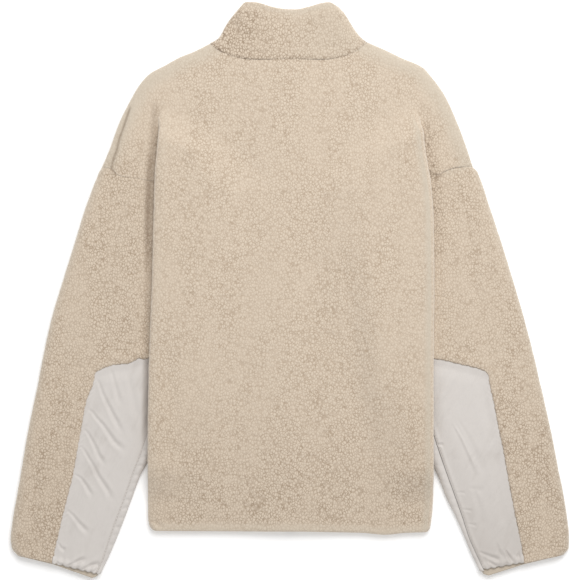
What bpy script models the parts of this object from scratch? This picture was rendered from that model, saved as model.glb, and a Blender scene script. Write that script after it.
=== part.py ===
# Sherpa jacket laid flat, face down: its back is up, its fronts and closed zip are on the
# surface, and its sleeves run beneath the sides of the body.
# Lengths are in millimetres here and are turned into metres where each mesh is made.
# X runs to the right over the back, Y towards the collar, Z up from the surface.
import math

import bmesh
import bpy
import numpy as np

for old in list(bpy.data.objects):
    bpy.data.objects.remove(old, do_unlink=True)

MM = 0.001
SIDES = {"left": -1.0, "right": 1.0}

# cloth
SHERPA = 5.0              # wall of the pile fabric
NYLON = 2.0               # wall of the padded woven panels
BINDING = 2.2             # wall of the cuff binding
SEAM = 0.3                # between pieces that are sewn together
LAYER = 5.6               # from one laid layer to the next
LOW = SHERPA / 2          # middle of the layer on the surface
SOFT_EDGE = 12.0          # width over which a sewn or folded outline rounds off
EDGE_FACE = 0.8           # height of the seam face at a rounded outline
ROUND_STEPS = (-90, -58, -28, 0, 28, 58, 90)
CAP_STEPS = (58, 28, 0)

# back
CENTRE_LOFT = 3.4         # the back stands this much higher over the closed zip
LOFT_REACH = 90.0
NECK_Y = 292.6            # back neck seam at the centre
FRONT_NECK_Y = 257.0      # front neck seam at the zip
UNDERARM_X = 97.8
UNDERARM_Y = 127.0
SIDE_SEAM_X = 76.0
FOLD_RADIUS = LAYER / 2
FOLD_MIN_ARC = 4.0
FOLD_OPENS_OVER = 22.0    # down from its start the shoulder fold turns right over
PLEAT_MIN = 1.5
DRAPE = 80.0              # the back falls off the sleeves over this width
DROP = 16.0               # and its folded-under side over this one
DROP_CELLS = 10
SLIT = 1.0                # between cap and side at the underarm
TOP_CELLS = 9
TOP_SHARE = 0.78          # of a row's half width, where the fold's columns are above the fold
FOLD_CELLS = 5
RETURN_CELLS = 4
CAP_CELLS = 11
UPPER_ROWS = 11

# zip
ZIP_GROOVE = 6.0          # half the space between the two fronts
TAPE_WIDTH = 13.0
TAPE = 0.8
CHAIN_WIDTH = 5.0
CHAIN = 2.0
CHAIN_Z = 6.2
ZIP_BOTTOM = -303.0
ZIP_TOP = 319.0
SLIDER_Y = 304.0
SLIDER_LENGTH = 12.0
SLIDER_WIDTH = 9.0
PLATE = 1.0
PLATE_GAP = 0.3
CROWN_WIDTH = 2.0
CROWN = 0.8
CROWN_REACH = 1.3         # from the pull's axis to the inside of the crown
PULL_AXIS_Z = 2.6
PULL_WIDTH = 7.0
PULL_LENGTH = 28.0
PULL = 1.4
PULL_SLOT_WIDTH = 3.2
PULL_SLOT_LENGTH = 6.0

# outline of the shoulders, from the neck to the armhole seam: x, y
SHOULDER = {
    "left": ((101.6, 312.4), (121.9, 302.3), (139.7, 295.3), (156.8, 285.8), (177.8, 274.3),
             (189.7, 261.6), (201.9, 241.3), (215.9, 213.4), (229.9, 175.3), (238.8, 154.9)),
    "right": ((97.3, 314.6), (124.5, 302.5), (143.5, 293.4), (167.6, 282.6), (181.6, 267.3),
              (194.9, 248.9), (211.5, 213.4), (223.1, 182.9), (231.8, 156.2)),
}

# folded side of the body: y, x
SIDE_FOLD = {
    "left": ((-306.1, 168.9), (-303.5, 175.3), (-296.7, 179.1), (-279.4, 180.3), (-210.8, 180.3),
             (-105.4, 179.1), (-11.4, 175.6), (27.9, 174.5), (97.8, 172.7), (144.8, 171.4),
             (173.4, 168.9), (203.8, 166.4), (235.0, 165.1)),
    "right": ((-307.3, 174.0), (-303.0, 177.3), (-288.9, 179.7), (-270.5, 181.4), (-235.0, 182.0),
              (-101.6, 182.0), (0.0, 182.8), (86.4, 182.0), (133.3, 178.6), (156.8, 175.0),
              (181.6, 170.9), (204.5, 169.2), (241.3, 167.6)),
}

# armhole seam of the back: x, y
ARMHOLE = {
    "left": ((0.0, 127.0), (97.8, 127.0), (190.5, 139.7), (218.4, 144.8), (226.3, 152.4), (238.8, 154.9)),
    "right": ((0.0, 127.0), (97.8, 127.0), (181.6, 143.5), (189.2, 144.8), (196.8, 149.9),
              (210.8, 154.4), (231.8, 156.2)),
}

# hem from left to right: x, y
HEM = ((-182.0, -306.1), (12.7, -306.1), (35.6, -306.6), (94.0, -308.2), (121.9, -310.5),
       (148.0, -308.2), (182.0, -307.3))

# edge of the sleeve beneath the body: y, x
SLEEVE_BELOW = ((-226.0, 179.0), (-207.0, 174.0), (-166.4, 158.1), (-120.7, 142.2), (-76.2, 128.9),
                (-44.5, 120.7), (-12.7, 113.7), (21.6, 107.3), (59.7, 101.6), (95.2, 99.1), (127.0, 97.8))

# y of the rows of the body below the armhole, at its centre
BODY_ROWS = (96.0, 60.0, 20.0, -20.0, -60.0, -100.0, -140.0, -180.0, -212.0, -232.0, -252.0,
             -272.0, -286.0, -296.0, -302.5)
REST_STARTS = -222.0      # the side of the body comes off the sleeve here
REST_ENDS = -272.0        # and lies on the surface from here

# collar sides: share of its height, x
COLLAR_SIDE = {
    "left": ((0.0, 101.6), (0.16, 90.7), (0.52, 81.3), (0.78, 73.7), (1.0, 66.0)),
    "right": ((0.0, 97.3), (0.15, 88.9), (0.57, 76.2), (0.8, 69.8), (1.0, 62.2)),
}

# top edge of the back of the collar: share of its half width, y
COLLAR_TOP = ((-1.0, 358.8), (-0.87, 365.8), (-0.71, 365.4), (-0.29, 358.1), (-0.1, 356.2), (0.1, 355.6),
              (0.37, 358.8), (0.7, 364.5), (0.82, 365.4), (1.0, 361.2))
COLLAR_FRONT_TOP = 322.0  # top of its fronts at the zip
COLLAR_SEAM = 0.5
COLLAR_ROWS = (0.0, 0.12, 0.28, 0.45, 0.62, 0.78, 0.91, 1.0)

# sleeve sections from armhole to cuff: outer edge, outer seam of the forearm panel, inner
# seam, inner edge, each as x, y
SLEEVE = {
    "left": (
        (238.8, 154.9, 208.0, 143.0, 120.7, 130.2, 97.8, 127.0),
        (257.8, 108.0, 224.8, 104.1, 121.9, 96.5, 99.1, 95.2),
        (273.1, 59.7, 233.7, 59.7, 124.5, 59.7, 101.6, 59.7),
        (288.9, 8.9, 240.0, 11.4, 130.8, 20.3, 107.3, 21.6),
        (302.9, -38.1, 245.1, -33.0, 137.8, -15.2, 113.7, -12.7),
        (312.7, -82.5, 248.9, -76.2, 144.1, -47.0, 120.7, -44.5),
        (319.0, -115.6, 249.9, -109.9, 151.1, -78.7, 128.9, -76.2),
        (324.7, -142.2, 258.3, -142.2, 161.3, -119.4, 142.2, -120.7),
        (331.5, -175.3, 264.8, -177.8, 174.0, -163.8, 158.1, -166.4),
        (337.2, -207.0, 270.5, -209.6, 187.3, -204.5, 175.3, -209.6),
        (342.3, -237.5, 275.6, -237.5, 198.8, -235.6, 189.9, -235.6),
        (347.2, -265.4, 282.6, -265.4, 209.8, -267.3, 201.9, -268.0),
        (351.5, -289.6, 288.9, -290.8, 219.7, -293.4, 210.8, -292.1),
        (354.3, -313.7, 294.0, -313.1, 227.6, -316.2, 220.6, -316.2),
        (353.1, -326.4, 298.4, -332.7, 236.2, -342.3, 232.0, -341.6),
        (348.6, -332.7, 300.6, -342.4, 244.5, -356.2, 239.0, -354.3),
    ),
    "right": (
        (231.8, 156.2, 203.0, 152.0, 120.7, 131.5, 97.8, 127.0),
        (252.1, 108.0, 222.2, 104.1, 121.9, 96.5, 99.1, 95.2),
        (268.4, 59.7, 231.1, 59.7, 124.5, 59.7, 101.6, 59.7),
        (284.0, 8.9, 240.0, 11.4, 130.8, 20.3, 107.3, 21.6),
        (297.6, -38.1, 246.4, -33.0, 137.8, -15.2, 113.7, -12.7),
        (309.1, -82.5, 250.2, -76.2, 144.8, -47.0, 121.9, -44.5),
        (315.7, -111.1, 251.5, -108.8, 151.1, -78.7, 128.9, -76.2),
        (322.8, -142.2, 257.8, -142.2, 162.6, -121.9, 142.2, -123.2),
        (330.2, -175.3, 264.2, -175.3, 175.9, -163.8, 158.8, -166.4),
        (336.5, -207.0, 270.8, -207.0, 189.0, -204.5, 174.6, -208.3),
        (342.5, -237.5, 276.2, -237.5, 200.3, -236.9, 188.2, -237.5),
        (348.0, -265.4, 281.3, -265.4, 210.4, -264.8, 198.8, -264.8),
        (351.7, -289.6, 286.0, -289.6, 219.1, -289.6, 211.1, -288.9),
        (354.0, -313.7, 291.1, -313.7, 227.1, -314.3, 222.3, -313.7),
        (353.4, -326.4, 294.0, -329.6, 235.6, -333.4, 229.9, -332.7),
        (348.6, -332.7, 295.4, -342.3, 243.8, -351.2, 238.8, -350.5),
    ),
}
PANEL_ROW = 6             # the forearm panel starts at this section
# columns of a sleeve: 0 outer edge, 1 outer panel seam, 2 inner seam, 3 inner edge
SLEEVE_TOP = (0.55, 1.0, 1.1, 1.25, 1.5, 1.75, 2.0)
# end of the cuff, in the same columns
CUFF = {
    "left": (345.4, -336.6, 300.2, -347.6, 251.5, -365.8, 245.5, -364.0),
    "right": (347.2, -335.3, 295.9, -347.6, 252.7, -362.6, 246.4, -361.5),
}
STRIP_REACH = 0.5         # the underarm strip goes this share of the panel's width underneath
NYLON_HEIGHT = 8.6        # of the sleeve where it is nylon
BINDING_LOW = 1.0
BINDING_HIGH = 9.6

JACKET = bpy.data.collections.new("sherpa_jacket")
bpy.context.scene.collection.children.link(JACKET)
CUTTERS = bpy.data.collections.new("cutters")
bpy.context.scene.collection.children.link(CUTTERS)


def material(name, colour, roughness, metallic=0.0):
    made = bpy.data.materials.new(name)
    made.use_nodes = True
    surface = made.node_tree.nodes["Principled BSDF"]
    surface.inputs["Base Color"].default_value = (*colour, 1.0)
    surface.inputs["Roughness"].default_value = roughness
    surface.inputs["Metallic"].default_value = metallic
    made.diffuse_color = (*colour, 1.0)
    return made


def smooth(value):
    held = min(1.0, max(0.0, value))
    return held * held * (3 - 2 * held)


def mix(first, second, share):
    return first + (second - first) * share


def read(rows, value):
    return float(np.interp(value, [row[0] for row in rows], [row[1] for row in rows]))


def along(points, share):
    """Point at a share of the length of a line of points."""
    steps = [0.0]
    for first, second in zip(points, points[1:]):
        steps.append(steps[-1] + math.dist(first, second))
    place = share * steps[-1]
    return tuple(float(np.interp(place, steps, [p[axis] for p in points])) for axis in (0, 1))


def finish(name, mesh, colour):
    bmesh.ops.recalc_face_normals(mesh, faces=mesh.faces)
    data = bpy.data.meshes.new(name)
    mesh.to_mesh(data)
    mesh.free()
    made = bpy.data.objects.new(name, data)
    made.data.materials.append(colour)
    JACKET.objects.link(made)
    return made


def shell(name, outer, inner, colour, keep=None, around=False):
    """Closed wall between two grids of points. keep tells which cells are cloth."""
    rows = len(outer)
    cols = len(outer[0])
    span = cols if around else cols - 1
    if keep is None:
        keep = np.ones((rows - 1, span), bool)
    mesh = bmesh.new()
    made = {}

    def corner(skin, i, j):
        key = (skin, i, j % cols)
        if key not in made:
            grid = outer if skin == "outer" else inner
            made[key] = mesh.verts.new([length * MM for length in grid[i][j % cols]])
        return made[key]

    def kept(i, j):
        if around:
            j = j % span
        return 0 <= i < rows - 1 and 0 <= j < span and bool(keep[i, j])

    for i in range(rows - 1):
        for j in range(span):
            if not kept(i, j):
                continue
            ring = ((i, j), (i, j + 1), (i + 1, j + 1), (i + 1, j))
            beside = ((i - 1, j), (i, j + 1), (i + 1, j), (i, j - 1))
            mesh.faces.new([corner("outer", *place) for place in ring])
            mesh.faces.new([corner("inner", *place) for place in reversed(ring)])
            for k in range(4):
                if not kept(*beside[k]):
                    first = ring[k]
                    second = ring[(k + 1) % 4]
                    mesh.faces.new([corner("outer", *second), corner("outer", *first),
                                    corner("inner", *first), corner("inner", *second)])
    return finish(name, mesh, colour)


def centre_loft(x, reach=LOFT_REACH):
    return CENTRE_LOFT * (1 - smooth(abs(x) / reach))


def neck_back(side, x):
    """Back neck seam: flat in the middle, rising to the shoulder."""
    end = SHOULDER[side][0]
    return mix(NECK_Y, end[1], min(1.0, abs(x) / end[0]) ** 5)


def neck_front(side, x):
    end = SHOULDER[side][0]
    return mix(FRONT_NECK_Y, end[1], min(1.0, abs(x) / end[0]) ** 3)


def upper_row(side, share, neck_y, neck_power):
    """One row between neck and armhole: its shoulder point, and y as a function of x."""
    end = along(SHOULDER[side], share)
    middle = mix(neck_y, UNDERARM_Y, share)
    power = mix(neck_power, 2.0, smooth(share / 0.35))
    to_seam = smooth((share - 0.35) / 0.65)

    def height(x):
        plain = mix(middle, end[1], min(1.0, x / end[0]) ** power)
        seam = read(ARMHOLE[side], x * ARMHOLE[side][-1][0] / end[0])
        last = ARMHOLE[side][-1][1]
        lifted = end[1] - (last - seam) * (end[1] - middle) / (last - UNDERARM_Y)
        return mix(plain, lifted, to_seam)

    return end, height


def turn(start, heading, length, angle, cells):
    """Points of an arc, or of a straight piece, in the x-z plane of a row."""
    points = []
    for step in range(1, cells + 1):
        part = step / cells
        if abs(angle) < 1e-6:
            x = start[0] + length * part * math.cos(heading)
            z = start[1] + length * part * math.sin(heading)
        else:
            radius = length / angle
            x = start[0] + radius * (math.sin(heading + angle * part) - math.sin(heading))
            z = start[1] - radius * (math.cos(heading + angle * part) - math.cos(heading))
        points.append((x, z))
    return points, heading + angle


def walls(line, thickness):
    """The two skins of a line of points in the x-z plane, half the wall to each side."""
    outer = []
    inner = []
    for k, point in enumerate(line):
        before = line[max(0, k - 1)]
        after = line[min(len(line) - 1, k + 1)]
        dx = after[0] - before[0]
        dz = after[1] - before[1] if k else 0.0
        length = math.hypot(dx, dz)
        shift = (-dz / length * thickness / 2, dx / length * thickness / 2)
        outer.append((point[0] + shift[0], point[1] + shift[1]))
        inner.append((point[0] - shift[0], point[1] - shift[1]))
    return outer, inner


def top_line(fold_x, rise, rest_x):
    """Middle of the back's top layer, from the centre out to where the side folds."""
    line = []
    for step in range(TOP_CELLS + 1):
        x = fold_x * step / TOP_CELLS
        loft = centre_loft(x)
        lifted = smooth((x - rest_x + DRAPE) / DRAPE)
        line.append((x, LOW + LAYER + loft + lifted * (rise - loft)))
    return line


def cap_columns(side):
    """Columns of the shoulder cap, in line with those of the sleeve that is sewn to it."""
    section = SLEEVE[side][0]
    first, last = UNDERARM_X, section[0] - SOFT_EDGE
    parts = []
    for u in reversed(SLEEVE_TOP):
        low = int(min(u, 2.99))
        x = mix(section[low * 2], section[low * 2 + 2], u - low)
        parts.append((x - first) / (last - first))
    return parts + [1.0]


def back_upper(side, share):
    end, height = upper_row(side, share, NECK_Y, 5.0)
    crease = SIDE_FOLD[side][-1][1]
    for _ in range(6):
        crease = read(SIDE_FOLD[side], height(crease))
    start = SIDE_FOLD[side][-1][0]
    crease_y = height(crease)
    below = start - crease_y
    opened = math.pi * smooth(below / FOLD_OPENS_OVER)
    arc = max(FOLD_MIN_ARC, FOLD_RADIUS * opened)
    radius = arc / max(opened, 1e-6)
    fold_x = min(crease - FOLD_RADIUS - SHERPA / 2, TOP_SHARE * end[0])
    last = read(SIDE_FOLD[side], UNDERARM_Y) - FOLD_RADIUS - SHERPA / 2 - UNDERARM_X
    reach = (below - FOLD_OPENS_OVER) / (start - read(ARMHOLE[side], crease) - FOLD_OPENS_OVER)
    pleat = max(PLEAT_MIN, last * min(1.0, max(0.0, reach)))
    if share >= 1.0:
        pleat = fold_x - UNDERARM_X
    rise = 2 * radius * (1 - math.cos(opened)) + pleat * math.sin(opened)
    if opened < 1e-3:
        rise = 0.0
    line = top_line(fold_x, rise, fold_x - pleat)
    heading = 0.0
    for length, angle, cells in ((arc, -opened, FOLD_CELLS), (pleat, 0.0, RETURN_CELLS),
                                 (arc, opened, FOLD_CELLS)):
        points, heading = turn(line[-1], heading, length, angle, cells)
        line.extend(points)
    outer, inner = walls(line, SHERPA)
    first = line[-1][0]
    flat = end[0] - SOFT_EDGE
    low = LOW + LAYER - SHERPA / 2
    outer[-1] = (first, low + SHERPA)
    inner[-1] = (first, low)
    for part in cap_columns(side):
        outer.append((mix(first, flat, part), low + SHERPA))
        inner.append((mix(first, flat, part), low))
    for angle in CAP_STEPS:
        x = flat + SOFT_EDGE * math.cos(math.radians(angle))
        outer.append((x, low + EDGE_FACE + (SHERPA - EDGE_FACE) * math.sin(math.radians(angle))))
        inner.append((x, low - 0.15 * math.cos(math.radians(angle))))
    return [[(x, height(x), z) for x, z in skin] for skin in (outer, inner)]


def back_lower(side, y):
    seam_share = smooth((UNDERARM_Y - y) / 60.0)
    hem_share = smooth((UNDERARM_Y - y) / (UNDERARM_Y - HEM[0][1]))
    sign = SIDES[side]

    def height(x):
        from_seam = y - SLIT + read(ARMHOLE[side], min(x, 190.0)) - UNDERARM_Y
        level = mix(from_seam, y, seam_share)
        return level + hem_share * (read(HEM, sign * x) - HEM[0][1])

    crease = 178.0
    for _ in range(6):
        crease = read(SIDE_FOLD[side], height(crease))
    fold_x = crease - FOLD_RADIUS - SHERPA / 2
    rise = 2 * LAYER * (1 - smooth((REST_STARTS - y) / (REST_STARTS - REST_ENDS)))
    under = read(SLEEVE_BELOW, y)
    end = min(under, fold_x - PLEAT_MIN)
    line = top_line(fold_x, rise, end)
    points, heading = turn(line[-1], 0.0, math.pi * FOLD_RADIUS, -math.pi, FOLD_CELLS)
    line.extend(points)
    points, heading = turn(line[-1], heading, fold_x - end, 0.0, RETURN_CELLS)
    line.extend(points)
    for step in range(1, DROP_CELLS + 1):
        line.append((end - DROP * step / DROP_CELLS, LOW + rise * (1 - smooth(step / DROP_CELLS))))
    rest = FOLD_CELLS + CAP_CELLS - DROP_CELLS
    for step in range(1, rest + 1):
        line.append((mix(end - DROP, SIDE_SEAM_X, step / rest), LOW))
    outer, inner = walls(line, SHERPA)
    return [[(x, height(x), z) for x, z in skin] for skin in (outer, inner)]


def across(rows_left, rows_right):
    """Left half turned round and joined to the right half at the centre."""
    joined = []
    for left, right in zip(rows_left, rows_right):
        mirrored = [(-x, y, z) for x, y, z in reversed(left)]
        joined.append(mirrored[:-1] + list(right))
    return joined


def make_back(colour):
    halves = {}
    for side in SIDES:
        rows = [back_upper(side, step / UPPER_ROWS) for step in range(UPPER_ROWS + 1)]
        rows += [back_lower(side, UNDERARM_Y - 0.01)]
        rows += [back_lower(side, y) for y in BODY_ROWS]
        rows += [back_lower(side, HEM[0][1])]
        halves[side] = rows
    outer = across([row[0] for row in halves["left"]], [row[0] for row in halves["right"]])
    inner = across([row[1] for row in halves["left"]], [row[1] for row in halves["right"]])
    keep = np.ones((len(outer) - 1, len(outer[0]) - 1), bool)
    beyond = FOLD_CELLS + CAP_CELLS
    keep[UPPER_ROWS, :beyond] = False
    keep[UPPER_ROWS, -beyond:] = False
    return shell("back", outer, inner, colour, keep)


def front_row(side, share):
    end, height = upper_row(side, share, FRONT_NECK_Y, 3.0)
    side_seam = SIDE_SEAM_X - SEAM
    flat = end[0] - SOFT_EDGE
    edge = min(side_seam, 0.55 * flat)
    last = SLEEVE[side][0][0] - SOFT_EDGE
    xs = [mix(ZIP_GROOVE, edge, step / 4) for step in range(5)]
    for part in [0.0] + cap_columns(side):
        seam_x = mix(UNDERARM_X, last, part)
        xs.append(mix(edge, flat, (seam_x - side_seam) / (last - side_seam)))
    lift = [0.0] * len(xs)
    for angle in CAP_STEPS:
        xs.append(flat + SOFT_EDGE * math.cos(math.radians(angle)))
        lift.append(1 - math.sin(math.radians(angle)))
    outer = [(x, height(x), up * (SHERPA - EDGE_FACE)) for x, up in zip(xs, lift)]
    inner = [(x, height(x), SHERPA + 0.15 * up) for x, up in zip(xs, lift)]
    return outer, inner


def make_front(side, colour):
    sign = SIDES[side]
    rows = [front_row(side, step / UPPER_ROWS) for step in range(UPPER_ROWS + 1)]
    columns = len(rows[0][0])
    body = 4
    for y in BODY_ROWS + (HEM[0][1],):
        hem_share = smooth((UNDERARM_Y - y) / (UNDERARM_Y - HEM[0][1]))
        outer = []
        inner = []
        for x, _, _ in rows[UPPER_ROWS][0]:
            level = y + hem_share * (read(HEM, sign * x) - HEM[0][1])
            outer.append((x, level, 0.0))
            inner.append((x, level, SHERPA))
        rows.append((outer, inner))
    keep = np.ones((len(rows) - 1, columns - 1), bool)
    keep[UPPER_ROWS:, body:] = False
    outer = [[(sign * x, y + SEAM / 2 * (i == UPPER_ROWS), z) for x, y, z in row[0]]
             for i, row in enumerate(rows)]
    inner = [[(sign * x, y + SEAM / 2 * (i == UPPER_ROWS), z) for x, y, z in row[1]]
             for i, row in enumerate(rows)]
    return shell("front_" + side, outer, inner, colour, keep)


def make_collar(colour):
    outer = []
    inner = []
    high = LOW + LAYER - SHERPA / 2
    middle = (SHERPA + high) / 2
    for share in COLLAR_ROWS:
        skins = {"outer": [], "inner": []}
        for side in ("left", "right"):
            sign = SIDES[side]
            half = read(COLLAR_SIDE[side], share)
            foot = SHOULDER[side][0][0]
            flat = half - SOFT_EDGE

            def back_y(x):
                t = min(1.0, x / half)
                return mix(neck_back(side, t * foot) + COLLAR_SEAM, read(COLLAR_TOP, sign * t), share)

            def front_y(x):
                t = min(1.0, x / half)
                top = mix(COLLAR_FRONT_TOP, read(COLLAR_TOP, sign), t ** 2)
                return mix(neck_front(side, t * foot) + COLLAR_SEAM, top, share)

            half_skins = {"outer": [], "inner": []}
            for step in range(5):
                x = mix(ZIP_GROOVE, flat, step / 5)
                half_skins["outer"].append((x, front_y(x), 0.0))
                half_skins["inner"].append((x, front_y(x), SHERPA))
            for angle in ROUND_STEPS:
                turned = math.radians(angle)
                for skin, wide, tall in (("outer", SOFT_EDGE, middle),
                                         ("inner", SOFT_EDGE - SHERPA, middle - SHERPA)):
                    x = flat + wide * math.cos(turned)
                    y = back_y(x) if angle > 0 else front_y(x)
                    half_skins[skin].append((x, y, middle + tall * math.sin(turned)))
            inward = [mix(flat, TOP_SHARE * half, step / 3) for step in (1, 2, 3)]
            inward += [TOP_SHARE * half * step / TOP_CELLS for step in reversed(range(TOP_CELLS))]
            for x in inward:
                loft = centre_loft(x, max(60.0, flat))
                half_skins["outer"].append((x, back_y(x), high + SHERPA + loft))
                half_skins["inner"].append((x, back_y(x), high + loft))
            for skin in skins:
                line = [(sign * x, y, z) for x, y, z in half_skins[skin]]
                if side == "left":
                    skins[skin] = line
                else:
                    skins[skin] += list(reversed(line[:-1]))
        outer.append(skins["outer"])
        inner.append(skins["inner"])
    return shell("collar", outer, inner, colour)


def sleeve_section(side, place):
    """The four points of a section, at a row number that may lie between two rows."""
    rows = SLEEVE[side]
    low = min(len(rows) - 2, int(place))
    values = [mix(first, second, place - low) for first, second in zip(rows[low], rows[low + 1])]
    return [np.array(values[k:k + 2]) for k in (0, 2, 4, 6)]


def section_point(points, u):
    """Point on a section: 0 outer edge, 1 panel seam, 2 inner seam, 3 inner edge."""
    low = min(2, int(u))
    return mix(points[low], points[low + 1], u - low)


def edge_round(points, at_inner, reach, low, high, wall):
    """Both skins round the edge of a flat tube, from its underside to its top."""
    edge, towards = (points[3], points[2]) if at_inner else (points[0], points[1])
    way = (towards - edge) / np.linalg.norm(towards - edge)
    middle = (low + high) / 2
    tall = (high - low) / 2
    skins = ([], [])
    for angle in ROUND_STEPS:
        turned = math.radians(angle)
        for skin, wide, up in ((0, reach, tall), (1, reach - wall, tall - wall)):
            place = edge + way * (reach - wide * math.cos(turned))
            skins[skin].append((place[0], place[1], middle + up * math.sin(turned)))
    return skins


def flat_piece(points, us, high, low):
    outer = []
    inner = []
    for u in us:
        place = section_point(points, u)
        outer.append((place[0], place[1], high))
        inner.append((place[0], place[1], low))
    return outer, inner


SLEEVE_UNDER = tuple(reversed(SLEEVE_TOP))


def sleeve_ring(points, low, high, wall, inner_reach, outer_reach):
    """All the way round: outer edge, top, inner edge, underside."""
    rounded = edge_round(points, False, outer_reach, low, high, wall)
    top = flat_piece(points, SLEEVE_TOP, high, high - wall)
    turned = edge_round(points, True, inner_reach, low, high, wall)
    under = flat_piece(points, SLEEVE_UNDER, low, low + wall)
    return [list(rounded[k]) + top[k] + list(reversed(turned[k])) + under[k] for k in (0, 1)]


def placed(side, rows):
    sign = SIDES[side]
    return [[(sign * x, y, z) for x, y, z in row] for row in rows]


def make_sleeve(side, colour):
    outer = []
    inner = []
    count = len(SLEEVE[side])
    high = LOW + LAYER + SHERPA / 2
    for row in range(count):
        points = sleeve_section(side, row)
        reach = min(10.0, 0.9 * float(np.linalg.norm(points[3] - points[2])))
        reach = max(reach, SHERPA + 0.5)
        ring = sleeve_ring(points, 0.0, high, SHERPA, reach, SOFT_EDGE)
        if row == 0:
            ring = [[(x, read(ARMHOLE[side], x) - SEAM / 2, z) for x, y, z in skin] for skin in ring]
        outer.append(ring[0])
        inner.append(ring[1])
    columns = len(outer[0])
    keep = np.ones((count - 1, columns), bool)
    first = len(ROUND_STEPS) + SLEEVE_TOP.index(1.0)
    last = len(ROUND_STEPS) * 2 + len(SLEEVE_TOP) + SLEEVE_UNDER.index(2.0 - STRIP_REACH)
    keep[PANEL_ROW:, first:last] = False
    return shell("sleeve_" + side, placed(side, outer), placed(side, inner), colour, keep, around=True)


def panel_places(count):
    first = PANEL_ROW + SEAM / 25.0
    return [first] + [float(row) for row in range(PANEL_ROW + 1, count)]


def make_forearm_panel(side, colour):
    outer = []
    inner = []
    for place in panel_places(len(SLEEVE[side])):
        points = sleeve_section(side, place)
        gap = SEAM / float(np.linalg.norm(points[2] - points[1]))
        us = [mix(1 + gap, 2 - gap / 2, step / 6) for step in range(7)]
        top, low = flat_piece(points, us, NYLON_HEIGHT, NYLON_HEIGHT - NYLON)
        outer.append(top)
        inner.append(low)
    return shell("forearm_panel_" + side, placed(side, outer), placed(side, inner), colour)


def make_underarm_strip(side, colour):
    outer = []
    inner = []
    for place in panel_places(len(SLEEVE[side])):
        points = sleeve_section(side, place)
        width = float(np.linalg.norm(points[3] - points[2]))
        gap = SEAM / float(np.linalg.norm(points[2] - points[1]))
        reach = min(8.0, 0.8 * width)
        top = flat_piece(points, (2 + SEAM / 2 / width,), NYLON_HEIGHT, NYLON_HEIGHT - NYLON)
        turned = edge_round(points, True, reach, 0.0, NYLON_HEIGHT, NYLON)
        under = flat_piece(points, (2.0, 2 - STRIP_REACH / 2, 2 - STRIP_REACH + gap), 0.0, NYLON)
        outer.append(top[0] + list(reversed(turned[0])) + under[0])
        inner.append(top[1] + list(reversed(turned[1])) + under[1])
    return shell("underarm_strip_" + side, placed(side, outer), placed(side, inner), colour)


def make_binding(side, colour):
    start = sleeve_section(side, len(SLEEVE[side]) - 1)
    values = CUFF[side]
    end = [np.array(values[k:k + 2]) for k in (0, 2, 4, 6)]
    rows = []
    for share in (0.0, 0.5, 1.0):
        points = []
        for first, second in zip(start, end):
            way = (second - first) / np.linalg.norm(second - first)
            points.append(mix(first + way * SEAM, second, share))
        reach = max(BINDING + 0.8, 0.9 * float(np.linalg.norm(points[3] - points[2])))
        rows.append(sleeve_ring(points, BINDING_LOW, BINDING_HIGH, BINDING, reach, 9.0))
    return shell("cuff_binding_" + side, placed(side, [row[0] for row in rows]),
                 placed(side, [row[1] for row in rows]), colour, around=True)


def box(name, low, high, bevel=0.0):
    mesh = bmesh.new()
    bmesh.ops.create_cube(mesh, size=1.0)
    size = [(b - a) * MM for a, b in zip(low, high)]
    middle = [(b + a) / 2 * MM for a, b in zip(low, high)]
    bmesh.ops.scale(mesh, vec=size, verts=mesh.verts)
    bmesh.ops.translate(mesh, vec=middle, verts=mesh.verts)
    if bevel:
        bmesh.ops.bevel(mesh, geom=list(mesh.edges), offset=bevel * MM, segments=1, affect="EDGES")
    data = bpy.data.meshes.new(name)
    mesh.to_mesh(data)
    mesh.free()
    return bpy.data.objects.new(name, data)


def join(target, tools, operation):
    for tool in tools:
        tool.hide_render = True
        tool.display_type = "WIRE"
        CUTTERS.objects.link(tool)
        cut = target.modifiers.new(tool.name, "BOOLEAN")
        cut.operation = operation
        cut.object = tool
        cut.solver = "EXACT"


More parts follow.
